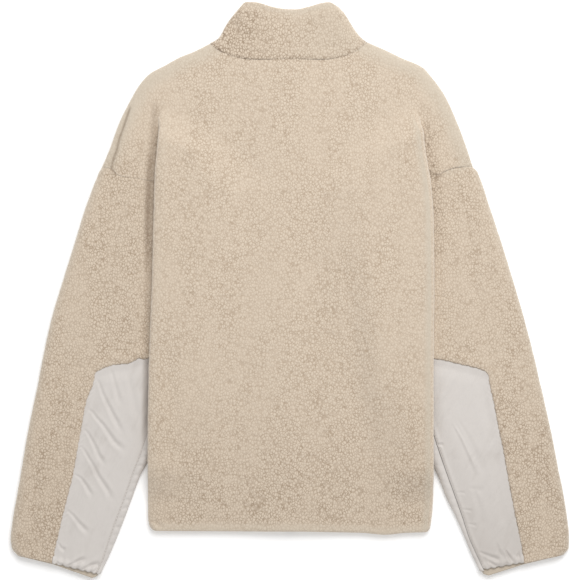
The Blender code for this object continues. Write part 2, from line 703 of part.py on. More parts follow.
def make_zip(tape_colour, chain_colour, slider_colour):
    for side, sign in SIDES.items():
        near = CHAIN_WIDTH / 2 + SEAM
        xs = sorted((sign * near, sign * (near + TAPE_WIDTH)))
        tape = box("zip_tape_" + side, (xs[0], ZIP_BOTTOM, SHERPA + SEAM),
                   (xs[1], ZIP_TOP, SHERPA + SEAM + TAPE))
        tape.data.materials.append(tape_colour)
        JACKET.objects.link(tape)
    low = SLIDER_Y - SLIDER_LENGTH / 2
    high = SLIDER_Y + SLIDER_LENGTH / 2
    post = 3.0
    chain = box("zip_chain", (-CHAIN_WIDTH / 2, ZIP_BOTTOM, CHAIN_Z - CHAIN / 2),
                (CHAIN_WIDTH / 2, high - post - SEAM, CHAIN_Z + CHAIN / 2), 0.4)
    chain.data.materials.append(chain_colour)
    JACKET.objects.link(chain)

    inside = CHAIN / 2 + PLATE_GAP
    half = SLIDER_WIDTH / 2
    slider = box("zip_slider", (-half, low, CHAIN_Z - inside - PLATE), (half, high, CHAIN_Z - inside), 0.3)
    slider.data.materials.append(slider_colour)
    JACKET.objects.link(slider)
    upper = box("slider_inner_plate", (-half, low, CHAIN_Z + inside), (half, high, CHAIN_Z + inside + PLATE), 0.3)
    middle = box("slider_post", (-1.0, high - post, CHAIN_Z - inside - PLATE / 2),
                 (1.0, high - 0.6, CHAIN_Z + inside + PLATE / 2))
    foot = CHAIN_Z - inside - PLATE / 2
    bar = PULL_AXIS_Z - CROWN_REACH - CROWN
    crown = []
    for name, start in (("crown_upper_foot", CROWN_REACH), ("crown_lower_foot", -CROWN_REACH - CROWN)):
        crown.append(box(name, (-CROWN_WIDTH / 2, SLIDER_Y + start, bar),
                         (CROWN_WIDTH / 2, SLIDER_Y + start + CROWN, foot)))
    reach = CROWN_REACH + CROWN
    crown.append(box("crown_bar", (-CROWN_WIDTH / 2, SLIDER_Y - reach, bar),
                     (CROWN_WIDTH / 2, SLIDER_Y + reach, bar + CROWN)))
    join(slider, [upper, middle] + crown, "UNION")

    outline = bpy.data.curves.new("zip_pull_outline", "CURVE")
    outline.dimensions = "2D"
    outline.fill_mode = "BOTH"
    outline.extrude = PULL / 2 * MM
    half = PULL_WIDTH / 2
    edge = PULL / 2
    corner = 1.6
    far = -PULL_LENGTH
    plate = [(-half + 0.5, edge), (half - 0.5, edge), (half, edge - 0.5), (half, far + corner),
             (half - corner / 3, far + corner / 3), (half - corner, far), (-half + corner, far),
             (-half + corner / 3, far + corner / 3), (-half, far + corner), (-half, edge - 0.5)]
    slot_half = PULL_SLOT_WIDTH / 2
    slot = [(-slot_half, -edge), (slot_half, -edge), (slot_half, -edge - PULL_SLOT_LENGTH),
            (-slot_half, -edge - PULL_SLOT_LENGTH)]
    for points in (plate, slot):
        spline = outline.splines.new("POLY")
        spline.points.add(len(points) - 1)
        spline.use_cyclic_u = True
        for point, (x, y) in zip(spline.points, points):
            point.co = (x * MM, y * MM, 0.0, 1.0)
    drawn = bpy.data.objects.new("zip_pull_curve", outline)
    bpy.context.scene.collection.objects.link(drawn)
    bpy.context.view_layer.update()
    data = bpy.data.meshes.new_from_object(drawn.evaluated_get(bpy.context.evaluated_depsgraph_get()))
    bpy.data.objects.remove(drawn, do_unlink=True)
    welded = bmesh.new()
    welded.from_mesh(data)
    bmesh.ops.remove_doubles(welded, verts=welded.verts, dist=1e-6)
    welded.to_mesh(data)
    welded.free()
    data.materials.clear()
    data.materials.append(slider_colour)
    pull = bpy.data.objects.new("zip_pull", data)
    pull.location = (0.0, SLIDER_Y * MM, PULL_AXIS_Z * MM)
    JACKET.objects.link(pull)


sherpa_colour = (0.64, 0.53, 0.42)
make_back(material("back", sherpa_colour, 0.95))
make_collar(material("collar", sherpa_colour, 0.95))
for name in SIDES:
    make_front(name, material("front_" + name, sherpa_colour, 0.95))
    make_sleeve(name, material("sleeve_" + name, sherpa_colour, 0.95))
    make_forearm_panel(name, material("forearm_panel_" + name, (0.66, 0.62, 0.58), 0.55))
    make_underarm_strip(name, material("underarm_strip_" + name, (0.66, 0.62, 0.58), 0.55))
    make_binding(name, material("cuff_binding_" + name, (0.56, 0.47, 0.37), 0.8))
make_zip(material("zip_tape", (0.62, 0.52, 0.41), 0.8), material("zip_chain", (0.60, 0.51, 0.41), 0.45),
         material("zip_slider", (0.55, 0.50, 0.44), 0.35, 0.6))
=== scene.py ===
import math

import bpy
import numpy as np
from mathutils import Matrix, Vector


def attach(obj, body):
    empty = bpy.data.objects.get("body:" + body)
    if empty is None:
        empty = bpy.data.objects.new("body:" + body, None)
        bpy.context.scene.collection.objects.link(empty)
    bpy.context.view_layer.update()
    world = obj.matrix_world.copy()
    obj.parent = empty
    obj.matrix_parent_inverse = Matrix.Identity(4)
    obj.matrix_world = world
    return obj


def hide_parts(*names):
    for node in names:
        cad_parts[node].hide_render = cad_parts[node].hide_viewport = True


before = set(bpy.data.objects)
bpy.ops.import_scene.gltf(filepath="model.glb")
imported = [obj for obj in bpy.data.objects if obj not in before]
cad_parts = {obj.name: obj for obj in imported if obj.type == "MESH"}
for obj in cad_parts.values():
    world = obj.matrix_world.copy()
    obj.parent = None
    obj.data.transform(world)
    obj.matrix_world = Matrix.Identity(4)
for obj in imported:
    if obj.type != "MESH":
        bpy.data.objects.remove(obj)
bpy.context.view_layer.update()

# A pile-fleece jacket laid flat, face down. X runs to the right over its back, Y towards the
# collar, Z up. Lengths are millimetres until a mesh is made.
mm = 0.001
sides = {"left": -1.0, "right": 1.0}
print("frame loaded")


# Node maths

class Wire:  # a socket that plain maths can be written with
    def __init__(self, tree, socket=None, made=None):
        self.tree = tree
        self.socket = socket
        self.made = made

    def node(self, kind, settings=None, values=None, out=0):
        made = self.tree.nodes.new(kind)
        for name, value in (settings or {}).items():
            setattr(made, name, value)
        for name, value in (values or {}).items():
            if isinstance(value, Wire):
                self.tree.links.new(value.socket, made.inputs[name])
            else:
                made.inputs[name].default_value = value
        return Wire(self.tree, made.outputs[out] if made.outputs else None, made)

    def output(self, name):  # another output of the same node
        return Wire(self.tree, self.made.outputs[name], self.made)

    def maths(self, operation, first, second=0.0):
        return self.node("ShaderNodeMath", {"operation": operation}, {0: first, 1: second})

    def __add__(self, other):
        return self.maths("ADD", self, other)

    __radd__ = __add__

    def __sub__(self, other):
        return self.maths("SUBTRACT", self, other)

    def __rsub__(self, other):
        return self.maths("SUBTRACT", other, self)

    def __mul__(self, other):
        return self.maths("MULTIPLY", self, other)

    def __rtruediv__(self, other):
        return self.maths("DIVIDE", other, self)


def eased(value, low, high):  # 0 below low, 1 above high
    return value.node("ShaderNodeMapRange", {"interpolation_type": "SMOOTHSTEP"},
                      {"Value": value, "From Min": low, "From Max": high})


def opaque(colour):  # a colour socket wants a fourth number
    return colour if isinstance(colour, Wire) else (*colour, 1.0)


def darkened(colour, share):
    return [value * share for value in colour]


def tinted(first, second, share, blend="MIX"):
    return share.node("ShaderNodeMix", {"data_type": "RGBA", "blend_type": blend},
                      {0: share, 6: opaque(first), 7: opaque(second)}, out=2)


def noise(place, scale, detail, roughness=0.5, out=0):
    return place.node("ShaderNodeTexNoise", None,
                      {"Vector": place, "Scale": scale, "Detail": detail, "Roughness": roughness}, out)


def ribs(along, pitch):  # -1 to 1 and back at each pitch
    return along.maths("SINE", along * (2 * math.pi / (pitch * mm)))


def carried(net, name, out="Fac"):  # a value that the mesh carries
    return net.node("ShaderNodeAttribute", {"attribute_name": name}, out=out)


def objectPlace(net):
    return net.node("ShaderNodeTexCoord", out="Object")


def movedBy(place, shift, amount):
    centred = place.node("ShaderNodeVectorMath", {"operation": "SUBTRACT"}, {0: shift, 1: (0.5, 0.5, 0.5)})
    scaled = place.node("ShaderNodeVectorMath", {"operation": "SCALE"}, {0: centred, "Scale": amount})
    return place.node("ShaderNodeVectorMath", {"operation": "ADD"}, {0: place, 1: scaled})


def stretched(place, across, along, degrees):  # a pattern drawn out in one direction
    turned = place.node("ShaderNodeMapping", None,
                        {"Vector": place, "Rotation": (0.0, 0.0, math.radians(degrees))})
    often = (1 / (across * mm), 1 / (along * mm), 1 / (across * mm))
    return place.node("ShaderNodeVectorMath", {"operation": "MULTIPLY"}, {0: turned, 1: often})


def startMaterial(name, roughness, sheen=0.0, sheenRoughness=0.5, metallic=0.0):
    made = bpy.data.materials.new(name)
    made.use_nodes = True
    surface = made.node_tree.nodes["Principled BSDF"]
    for socket, value in (("Roughness", roughness), ("Sheen Weight", sheen),
                          ("Sheen Roughness", sheenRoughness), ("Metallic", metallic)):
        surface.inputs[socket].default_value = value
    return made, Wire(made.node_tree), surface


def paint(net, surface, colour, height, distance, strength=1.0, rough=None):
    bump = net.node("ShaderNodeBump", None, {"Height": height, "Distance": distance, "Strength": strength})
    for wire, socket in ((colour, "Base Color"), (bump, "Normal"), (rough, "Roughness")):
        if wire is not None:
            net.tree.links.new(wire.socket, surface.inputs[socket])


def startTree(name, inputs):  # a tree that works on a mesh, and a way to read its named inputs
    tree = bpy.data.node_groups.new(name, "GeometryNodeTree")
    for socket, kind in {"Geometry": "Geometry", **inputs}.items():
        tree.interface.new_socket(socket, in_out="INPUT", socket_type="NodeSocket" + kind)
    tree.interface.new_socket("Geometry", in_out="OUTPUT", socket_type="NodeSocketGeometry")
    net = Wire(tree)
    return net, net.node("NodeGroupInput").output


def addPiece(name, data):
    made = bpy.data.objects.new(name, data)
    bpy.context.scene.collection.objects.link(made)
    return made


def applyNodes(piece, tree, values):  # runs a node tree on a piece and keeps the result as a plain mesh
    modifier = piece.modifiers.new("made", "NODES")
    modifier.node_group = tree
    for item in tree.interface.items_tree:
        if item.item_type == "SOCKET" and item.in_out == "INPUT" and item.name in values:
            modifier[item.identifier] = values[item.name]
    graph = bpy.context.evaluated_depsgraph_get()
    mesh = bpy.data.meshes.new_from_object(piece.evaluated_get(graph), preserve_all_data_layers=True,
                                           depsgraph=graph)
    piece.modifiers.remove(modifier)
    piece.data = mesh
    return piece


# Pile fabric

pile = {
    "curl": 3.4,                     # one curl, millimetres
    "drawnOut": (1.12, 0.86, 1.12),  # the curls are longer down the cloth than across it
    "strays": 0.75,                  # how often they change direction, in one curl's length
    "wander": 3.2,                   # how far they stray from round
    "large": (1.0, 0.35, 0.85),      # curls in one curl's length, softness, share of the height
    "small": (2.1, 0.3, 0.32),
    "middle": 0.45,                  # height in the pattern that stays on the cloth's own surface
    "height": 0.6,                   # of the curls in the mesh
    "clump": 15.0,                   # soft lumps of many curls
    "clumpHeight": 0.35,
    "sideLean": (0.38, 0.8),         # how light a steep side gets, and how steep it has to be
    "patch": 7.0,                    # patches where the gaps between the curls are more or less open
    "patchEdges": (0.34, 0.62),
    "patchShare": (0.5, 0.42),
    "brushing": (34.0, 90.0, 8),     # streaks that lie flatter: across, along, degrees
    "brushingEdges": (0.36, 0.62),
    "brushingShare": (0.62, 0.38),
    "gapEdges": (0.015, 0.18),
    "lightEdges": (0.3, 0.62),
    "fibre": 1.1,
    "bump": 0.65,
    # tip is a painted highlight on the curls' tops, and hollow and deepHollow are painted shade between them
    "tip": (0.632, 0.532, 0.418),
    "body": (0.585, 0.484, 0.376),
    "hollow": (0.335, 0.24, 0.155),
    "deepHollow": (0.17, 0.11, 0.065),
    "flatSheened": (0.54, 0.478, 0.386),  # where the pile lies flat, with a painted sheen
    "shaded": (0.56, 0.52, 0.485),    # how much light is left deep between two layers
    "sideSheen": (0.86, 0.745, 0.60),    # a painted sheen on steep sides and beside the folded side
}


def curlPlace(place):
    stray = noise(place, pile["strays"] / (pile["curl"] * mm), 2.0, out=1)
    strayed = movedBy(place, stray, pile["wander"] * mm)
    return place.node("ShaderNodeVectorMath", {"operation": "MULTIPLY"}, {0: strayed, 1: pile["drawnOut"]})


def curlPattern(strayed):
    large, small = (strayed.node("ShaderNodeTexVoronoi", {"feature": "SMOOTH_F1"},
                                 {"Vector": strayed, "Scale": often / (pile["curl"] * mm),
                                  "Smoothness": softness}) * share
                    for often, softness, share in (pile["large"], pile["small"]))
    return 1.0 - (large + small)


def makePileTree():
    net, size = startTree("raiseCurls", {"Curl Height": "Float", "Clump Height": "Float",
                                         "Clump Size": "Float", "Cloth": "Material"})
    place = net.node("GeometryNodeInputPosition")
    normal = net.node("GeometryNodeInputNormal")
    calm = net.node("GeometryNodeInputNamedAttribute", {"data_type": "FLOAT"}, {"Name": "calm"})
    kept = net.node("GeometryNodeStoreNamedAttribute", {"data_type": "FLOAT_VECTOR", "domain": "POINT"},
                    {"Geometry": size("Geometry"), "Name": "rest", "Value": place})
    curls = curlPattern(curlPlace(place)) - pile["middle"]
    clumps = (noise(place, 1.0 / size("Clump Size"), 1.0) - 0.5) * size("Clump Height") * 2.0
    raised = (curls * size("Curl Height") + clumps) * (1.0 - calm)
    shift = net.node("ShaderNodeVectorMath", {"operation": "SCALE"}, {0: normal, "Scale": raised})
    moved = net.node("GeometryNodeSetPosition", None, {"Geometry": kept, "Offset": shift})
    real = net.node("GeometryNodeRealizeInstances", None, {"Geometry": moved})
    done = net.node("GeometryNodeSetMaterial", None, {"Geometry": real, "Material": size("Cloth")})
    net.node("NodeGroupOutput", None, {"Geometry": done})
    return net.tree


def makePileMaterial(name):
    made, net, surface = startMaterial(name, 0.92, 0.5, 0.6)
    place = carried(net, "rest", "Vector")
    smoothed, deep, shade, lean = (carried(net, held) for held in ("smoothed", "deep", "shade", "lean"))
    strayed = curlPlace(place)
    height = curlPattern(strayed)
    border = net.node("ShaderNodeTexVoronoi", {"feature": "DISTANCE_TO_EDGE"},
                      {"Vector": strayed, "Scale": 1 / (pile["curl"] * mm)})
    broken = eased(noise(place, 1 / (pile["patch"] * mm), 2.0), *pile["patchEdges"])
    brushing = eased(noise(stretched(place, *pile["brushing"]), 1.0, 2.0), *pile["brushingEdges"])
    least, more = pile["brushingShare"]
    rough = (least + brushing * more) * (1.0 - smoothed * 0.7)
    least, more = pile["patchShare"]
    # painted shade in the gaps between the curls and a painted highlight on their tops
    gap = (1.0 - eased(border, *pile["gapEdges"])) * (least + broken * more)
    light = eased(height, *pile["lightEdges"])
    top = tinted(pile["body"], pile["tip"], light * (rough * 0.75 + 0.2))
    # where it lies flat the pile gets a painted sheen
    flat = tinted(top, pile["flatSheened"], smoothed * 0.75)
    hollow = tinted(pile["hollow"], pile["deepHollow"], deep)
    darker = tinted(flat, pile["hollow"], deep * 0.2)
    curly = tinted(darker, hollow, net.maths("MINIMUM", gap * (rough * 0.75 + deep * 0.7), 1.0))
    sunk = tinted(curly, pile["shaded"], shade, "MULTIPLY")
    colour = tinted(sunk, pile["sideSheen"], lean * (1.0 - shade))
    fibre = noise(place, 1 / (pile["fibre"] * mm), 3.0)
    relief = height * (0.35 + rough * 0.65) + fibre * 0.12
    paint(net, surface, colour, relief, pile["bump"] * mm, 0.8)
    return made


pileTree = makePileTree()
pileMaterial = makePileMaterial("curly_pile")
print("pile ready")


# Reading tables and building skins

def ease(value):
    held = np.clip(value, 0.0, 1.0)
    return held * held * (3 - 2 * held)

def above(value, start, over):  # 0 up to start, 1 once it is that much over it
    return ease((value - start) / over)


def below(value, start, over):  # 0 down to start, 1 once it is that much under it
    return ease((start - value) / over)


def within(value, start, over):  # 1 up to start, 0 once it is that much over it
    return 1 - ease((value - start) / over)


def bell(value, wide, middle=0.0):
    return np.exp(-((value - middle) / wide) ** 2)


def wavering(along, pitch, stray, over, start=0.0):  # a wave that isn't quite even
    return np.sin(along * 2 * math.pi / pitch + stray * np.sin(along / over) + start)


def mix(first, second, share):
    return first + (second - first) * share


def readCurve(rows, value):  # smooth, and never beyond the rows that it runs through
    table = np.array(rows, float)
    xs, ys = table[:, 0], table[:, 1]
    gaps = np.diff(xs)
    slopes = np.diff(ys) / gaps
    lean = np.zeros(len(xs))
    lean[0], lean[-1] = slopes[0], slopes[-1]
    same = slopes[:-1] * slopes[1:] > 0
    first = 2 * gaps[1:] + gaps[:-1]
    second = gaps[1:] + 2 * gaps[:-1]
    inner = np.zeros(len(slopes) - 1)
    inner[same] = (first + second)[same] / (first[same] / slopes[:-1][same] + second[same] / slopes[1:][same])
    lean[1:-1] = inner
    held = np.clip(value, xs[0], xs[-1])
    k = np.clip(np.searchsorted(xs, held, side="right") - 1, 0, len(xs) - 2)
    t = (held - xs[k]) / gaps[k]
    return (ys[k] * (1 + 2 * t) * (1 - t) ** 2 + lean[k] * gaps[k] * t * (1 - t) ** 2
            + ys[k + 1] * t * t * (3 - 2 * t) + lean[k + 1] * gaps[k] * t * t * (t - 1))


def nearLine(x, y, line):  # distance to a line of points, and how far along it
    best = np.full(np.shape(x), 1e9)
    where = np.zeros(np.shape(x))
    steps = [math.dist(a, b) for a, b in zip(line, line[1:])]
    passed = 0.0
    for (ax, ay), (bx, by), length in zip(line, line[1:], steps):
        t = np.clip(((x - ax) * (bx - ax) + (y - ay) * (by - ay)) / length ** 2, 0.0, 1.0)
        away = np.hypot(x - ax - t * (bx - ax), y - ay - t * (by - ay))
        closer = away < best
        best = np.where(closer, away, best)
        where = np.where(closer, (passed + t * length) / sum(steps), where)
        passed += length
    return best, where


def folds(x, y, rows, shoulder=0.0, spread=0.0):  # each row has a line, a half width and a height
    total = np.zeros(np.shape(x))
    for line, width, height in rows:
        away, where = nearLine(x, y, line)
        fade = ease(where / (0.3 - 0.2 * spread) + 0.15 + 0.2 * spread) * ease((1 - where) / 0.3 + 0.1)
        growing = 1 + 2 * spread * (where - 0.5)     # starts narrow and opens out
        away = away / (width * growing)
        total += fade * height * growing * (np.exp(-away ** 2) - shoulder * np.exp(-(away - 2.0) ** 2))
    return total


def rowLengths(grid):  # length walked down each column of a grid
    steps = np.linalg.norm(np.diff(grid, axis=0), axis=2)
    return np.vstack([np.zeros(grid.shape[1]), np.cumsum(steps, axis=0)])


def columnLengths(grid):
    return rowLengths(grid.transpose(1, 0, 2)).T


def rolledEdge(outer, inner, way, cells=6):  # rows that carry an outer edge round to the inner one
    middle, half = (outer + inner) / 2, (outer - inner) / 2
    reach = np.linalg.norm(half, axis=1)[:, None]
    way = way / np.linalg.norm(way, axis=1)[:, None]
    turns = [math.pi * step / cells for step in range(1, cells)]
    return np.array([middle + half * math.cos(turn) + way * reach * math.sin(turn) for turn in turns])


def unit(vectors):
    return vectors / np.linalg.norm(vectors, axis=-1)[..., None]


def gridFaces(rows, cols, keep, closed, flip):
    index = np.arange(rows * cols).reshape(rows, cols)
    if closed:
        index = np.concatenate([index, index[:, :1]], axis=1)
    faces = np.stack([index[:-1, :-1], index[1:, :-1], index[1:, 1:], index[:-1, 1:]], axis=-1)
    faces = faces.reshape(-1, 4) if keep is None else faces[keep]
    return faces[:, ::-1] if flip else faces


def pointNormals(points, faces):
    facing = np.cross(points[faces[:, 2]] - points[faces[:, 0]], points[faces[:, 3]] - points[faces[:, 1]])
    normals = np.zeros_like(points)
    for corner in range(4):
        np.add.at(normals, faces[:, corner], facing)
    return normals / np.maximum(np.linalg.norm(normals, axis=1), 1e-9)[:, None]


def turnEdgesIn(points, faces, normals, depth):  # so that no cut edge of the cloth shows
    edges = np.concatenate([faces[:, [k, (k + 1) % 4]] for k in range(4)])
    lowHigh = np.sort(edges, axis=1)
    keys = lowHigh[:, 0] * len(points) + lowHigh[:, 1]
    _, place, count = np.unique(keys, return_index=True, return_counts=True)
    openEdges = edges[place[count == 1]]
    around = np.unique(openEdges)
    a, b = openEdges[:, 0], openEdges[:, 1]
    allPoints, allFaces = [points], [faces]
    previous = np.arange(len(points))
    for step, share in enumerate((0.4, 1.0)):
        number = np.zeros(len(points), int)
        number[around] = len(points) + step * len(around) + np.arange(len(around))
        allPoints.append(points[around] - normals[around] * (share * depth))
        allFaces.append(np.stack([previous[b], previous[a], number[a], number[b]], axis=1))
        previous = number
    return np.concatenate(allPoints), np.concatenate(allFaces)


# calm stops the pile's relief, smoothing lays it flat and paints a sheen on it, deep darkens the painted
# shade in its hollows, shade takes light away as painted shade, lit paints light on it, and steep sides get a
# painted sheen
def makeSkin(name, grid, keep=None, closed=False, flip=False, edgeDepth=2.6, lit=0.0, **values):
    size = grid.shape[:2]
    points = grid.reshape(-1, 3)
    faces = gridFaces(*size, keep, closed, flip)
    normals = pointNormals(points, faces)
    allPoints, allFaces = turnEdgesIn(points, faces, normals, edgeDepth)
    used, corners = np.unique(allFaces, return_inverse=True)
    corners = corners.reshape(-1)

    mesh = bpy.data.meshes.new(name)
    mesh.vertices.add(len(used))
    mesh.vertices.foreach_set("co", (allPoints[used] * mm).astype(np.float32).ravel())
    mesh.loops.add(len(corners))
    mesh.loops.foreach_set("vertex_index", corners.astype(np.int32))
    mesh.polygons.add(len(allFaces))
    mesh.polygons.foreach_set("loop_start", np.arange(0, len(corners), 4, dtype=np.int32))
    mesh.polygons.foreach_set("use_smooth", np.arange(len(allFaces)) < len(faces))
    mesh.update(calc_edges=True)
    mesh.validate()

    # steep sides get a painted sheen, and lit adds painted light
    lightest, steepest = pile["sideLean"]
    sideways = ease((1.0 - np.abs(normals[:, 2])) / steepest).reshape(size)
    values["lean"] = np.maximum(lightest * sideways, lit)
    for key in ("calm", "smoothed", "deep", "shade", "lean"):
        turned = np.full(len(allPoints) - len(points), 1.0 if key == "calm" else 0.0)
        full = np.concatenate([np.broadcast_to(values.get(key, 0.0), size).ravel(), turned])
        held = mesh.attributes.new(key, "FLOAT", "POINT")
        held.data.foreach_set("value", full[used].astype(np.float32))
    return addPiece(name, mesh)


def pointsOf(piece):
    points = np.zeros(len(piece.data.vertices) * 3, np.float32)
    piece.data.vertices.foreach_get("co", points)
    return points.reshape(-1, 3)


def raisePile(piece):
    applyNodes(piece, pileTree, {"Curl Height": pile["height"] * mm,
                                 "Clump Height": pile["clumpHeight"] * mm,
                                 "Clump Size": pile["clump"] * mm, "Cloth": pileMaterial})
    points = pointsOf(piece)    # the underside lies on the surface and never goes through it
    points[:, 2] = np.maximum(points[:, 2], 0.0)
    piece.data.vertices.foreach_set("co", points.ravel())
    piece.data.update()
    return piece


def flatArea(piece):
    return sum(face.area for face in piece.data.polygons)


def withRows(values, count, fill=None, first=False):  # rows of one value, or more of the last row
    more = np.broadcast_to(values[-1:] if fill is None else fill, (count, values.shape[1]))
    return np.concatenate([more, values] if first else [values, more])


# Sizes that the pieces share

laid = {
    "sherpa": 5.0, "layer": 5.6, "low": 2.5, "softEdge": 12.0, "topFrom": 4.0,
    "centreLoft": 3.4, "loftReach": 90.0,
    "backNeck": (292.6, 5), "frontNeck": (257.0, 3),  # y in the middle, how late it rises at the ends
    "neckShare": 0.35,                                # of the rows that follow the neck's curve
    "underarmX": 97.8, "underarmY": 127.0, "sideSeamX": 76.0, "zipGroove": 6.0, "seam": 0.3,
    "shoulder": {
        "left": ((101.6, 312.4), (121.9, 302.3), (139.7, 295.3), (156.8, 285.8), (177.8, 274.3),
                 (189.7, 261.6), (201.9, 241.3), (215.9, 213.4), (229.9, 175.3), (238.8, 154.9)),
        "right": ((97.3, 314.6), (124.5, 302.5), (143.5, 293.4), (167.6, 282.6), (181.6, 267.3),
                  (194.9, 248.9), (211.5, 213.4), (223.1, 182.9), (231.8, 156.2)),
    },
    "armhole": {
        "left": ((0, 127), (97.8, 127), (190.5, 139.7), (218.4, 144.8), (226.3, 152.4), (238.8, 154.9)),
        "right": ((0, 127), (97.8, 127), (181.6, 143.5), (189.2, 144.8), (196.8, 149.9),
                  (210.8, 154.4), (231.8, 156.2)),
    },
    "sideFold": {  # y, x
        "left": ((-306.1, 168.9), (-303.5, 175.3), (-296.7, 179.1), (-279.4, 180.3), (-210.8, 180.3),
                 (-105.4, 179.1), (-11.4, 175.6), (27.9, 174.5), (97.8, 172.7), (144.8, 171.4),
                 (173.4, 168.9), (203.8, 166.4), (235, 165.1)),
        "right": ((-307.3, 174), (-303, 177.3), (-288.9, 179.7), (-270.5, 181.4), (-235, 182),
                  (-101.6, 182), (0, 182.8), (86.4, 182), (133.3, 178.6), (156.8, 175),
                  (181.6, 170.9), (204.5, 169.2), (241.3, 167.6)),
    },
    "hem": ((-182, -306.1), (12.7, -306.1), (35.6, -306.6), (94, -308.2), (121.9, -310.5),
            (148, -308.2), (182, -307.3)),
    "sleeveBelow": ((-226, 179), (-207, 174), (-166.4, 158.1), (-120.7, 142.2), (-76.2, 128.9),
                    (-44.5, 120.7), (-12.7, 113.7), (21.6, 107.3), (59.7, 101.6), (95.2, 99.1),
                    (127.0, 97.8)),
    # painted shade that darkens the sleeves and shoulder caps, more on the left
    "sleevePaintedShade": {"left": 0.2, "right": 0.15},
}
hemY = laid["hem"][0][1]


def shoulderPoint(side, share):
    line = np.array(laid["shoulder"][side])
    walked = np.concatenate([[0.0], np.cumsum(np.linalg.norm(np.diff(line, axis=0), axis=1))])
    place = share * walked[-1]
    return [float(readCurve(np.stack([walked, line[:, axis]], 1), place)) for axis in (0, 1)]


def neckLine(side, x, neck):
    foot, (middle, power) = laid["shoulder"][side][0], neck
    return mix(middle, foot[1], np.clip(np.abs(x) / foot[0], 0, 1) ** power)


def centreLoft(x, reach):
    return laid["centreLoft"] * (1 - ease(np.abs(x) / reach))


def onUpper(z):  # 1 on the jacket's upper side, 0 underneath
    return above(z, laid["layer"], laid["topFrom"])


def upperRow(side, share, neck):  # a row between neck and armhole
    end = shoulderPoint(side, share)
    neckY, neckPower = neck
    middle = mix(neckY, laid["underarmY"], share)
    power = mix(neckPower, 2.0, float(ease(share / laid["neckShare"])))
    toSeam = float(above(share, laid["neckShare"], 1 - laid["neckShare"]))
    last = laid["armhole"][side][-1]

    def height(x):
        plain = mix(middle, end[1], np.clip(x / end[0], 0, 1) ** power)
        seam = readCurve(laid["armhole"][side], x * last[0] / end[0])
        lifted = end[1] - (last[1] - seam) * (end[1] - middle) / (last[1] - laid["underarmY"])
        return mix(plain, lifted, toSeam)

    return end, height


def unevenAlong(x):  # a sewn line that shows here and there
    return 0.62 + 0.38 * np.sin(x / 2.9 + 1.7 * np.sin(x / 7.7))


# Back

backSizes = {
    "topCells": 84, "foldCells": 7, "returnCells": 6, "capCells": 46, "edgeCells": 11,
    "upperRows": 84, "lowerRows": 200, "hemCells": 6, "hemReturn": 7,
    "foldRadius": 2.8, "foldMinArc": 4.0, "foldOpensOver": 60.0, "risesOver": 112.0, "pleatMin": 1.5,
    "creaseStart": 178.0, "armholeTo": 190.0, "armholeFades": 60.0,
    "drape": 80.0, "drop": 16.0, "dropCells": 8, "slit": 1.0, "topShare": 0.78,
    "restStarts": -222.0, "restEnds": -272.0,
    "seamDip": 0.35, "seamReach": 3.2, "armholeDip": 0.3, "armholeReach": 3.4,
    "foldsFade": 12.0,                    # towards the folded side
    # how flat the pile lies and how much sheen is painted on it, and as start and stretch where that ends
    "sideFlatSheen": {"left": 0.25, "right": 0.95}, "sideNear": (6.0, 10.0),
    "outlineFlatSheen": 0.85, "outlineNear": (5.0, 22.0), "hemFlatSheen": 0.45, "hemNear": (7.0, 6.0),
    # how dark the painted shade in its hollows is, and as start and stretch where that is
    "sleeveDark": (150.0, 60.0), "lowerDark": 0.27, "lowerDown": (-90.0, 190.0), "lowerUp": (8.0, 5.0),
    "neckDark": 0.3, "neckNear": (1.0, 3.0), "neckWide": 1.3,
    "slitShade": 0.6, "slitNear": (0.5, 5.0), "slitUp": (150.0, 25.0), "slitDown": (245.0, 20.0),
    "folds": (  # line, half width, height
        (((148.6, 226.1), (153, 177.8), (155.7, 163.8)), 2.2, -1),
        (((72, 60), (78, -30), (86, -120), (97, -205)), 13, -1.5),
        (((106, 55), (111, -60), (116, -180)), 13, 1.2),
        (((-158, -50), (-150, -130), (-139, -220), (-133, -290)), 11, -1.2),
        (((-112, -60), (-104, -170), (-98, -285)), 13, 1),
        (((-30, 150), (-26, 20), (-34, -120)), 20, 0.9),
        (((24, 90), (30, -50), (22, -210)), 18, -0.8),
        (((-176, -290), (-168, -297), (-160, -302)), 3, -1.1),
        (((-120, 232), (-134, 180), (-139, 120)), 12, -0.9),
        (((112, 236), (122, 190), (126, 120)), 11, -0.8),
    ),
    "capSeams": (
        (((-200.7, 238.1), (-209.5, 210.8), (-216.5, 190.5), (-219.7, 177.2), (-224.2, 163.8),
          (-226.4, 154.9), (-224.5, 149.9), (-221, 145.4)), 2.2, -1.4),
        (((177.2, 149.9), (182.5, 146.4), (189.6, 144.8), (195.6, 146.7)), 1.8, -1.2),
        (((190, 149.5), (200, 155), (222, 159.5)), 4.5, 0.7),
    ),
    # painted shade in the left shoulder seam's groove and in the right armhole crease
    "seamGrooveShade": (  # line, half width, darkness
        (((-203, 230), (-209.5, 210.8), (-216.5, 190.5), (-219.7, 177.2), (-224.2, 163.8),
          (-226.4, 154.9), (-224.5, 149.9), (-221, 145.4)), 1.5, 1),
        (((177.2, 149.9), (182.5, 146.4), (189.6, 144.8), (193, 145.6)), 1.3, 0.8),
    ),
}
neckShows = ((-110.0, 0.25), (-100.0, 0.5), (-78.0, 0.55), (-62.0, 0.2), (-20.0, 0.2), (-5.0, 0.5),
             (28, 0.45), (45, 0.15), (80, 0.1), (100, 0.3), (110, 0.2))   # x, how dark


def neckShade(x, fromNeck):
    return readCurve(neckShows, x) * unevenAlong(x * 1.4) * bell(fromNeck, backSizes["neckWide"])


def neckDip(x, fromNeck):
    return backSizes["seamDip"] * (1 - ease(fromNeck / backSizes["seamReach"])) * unevenAlong(x)


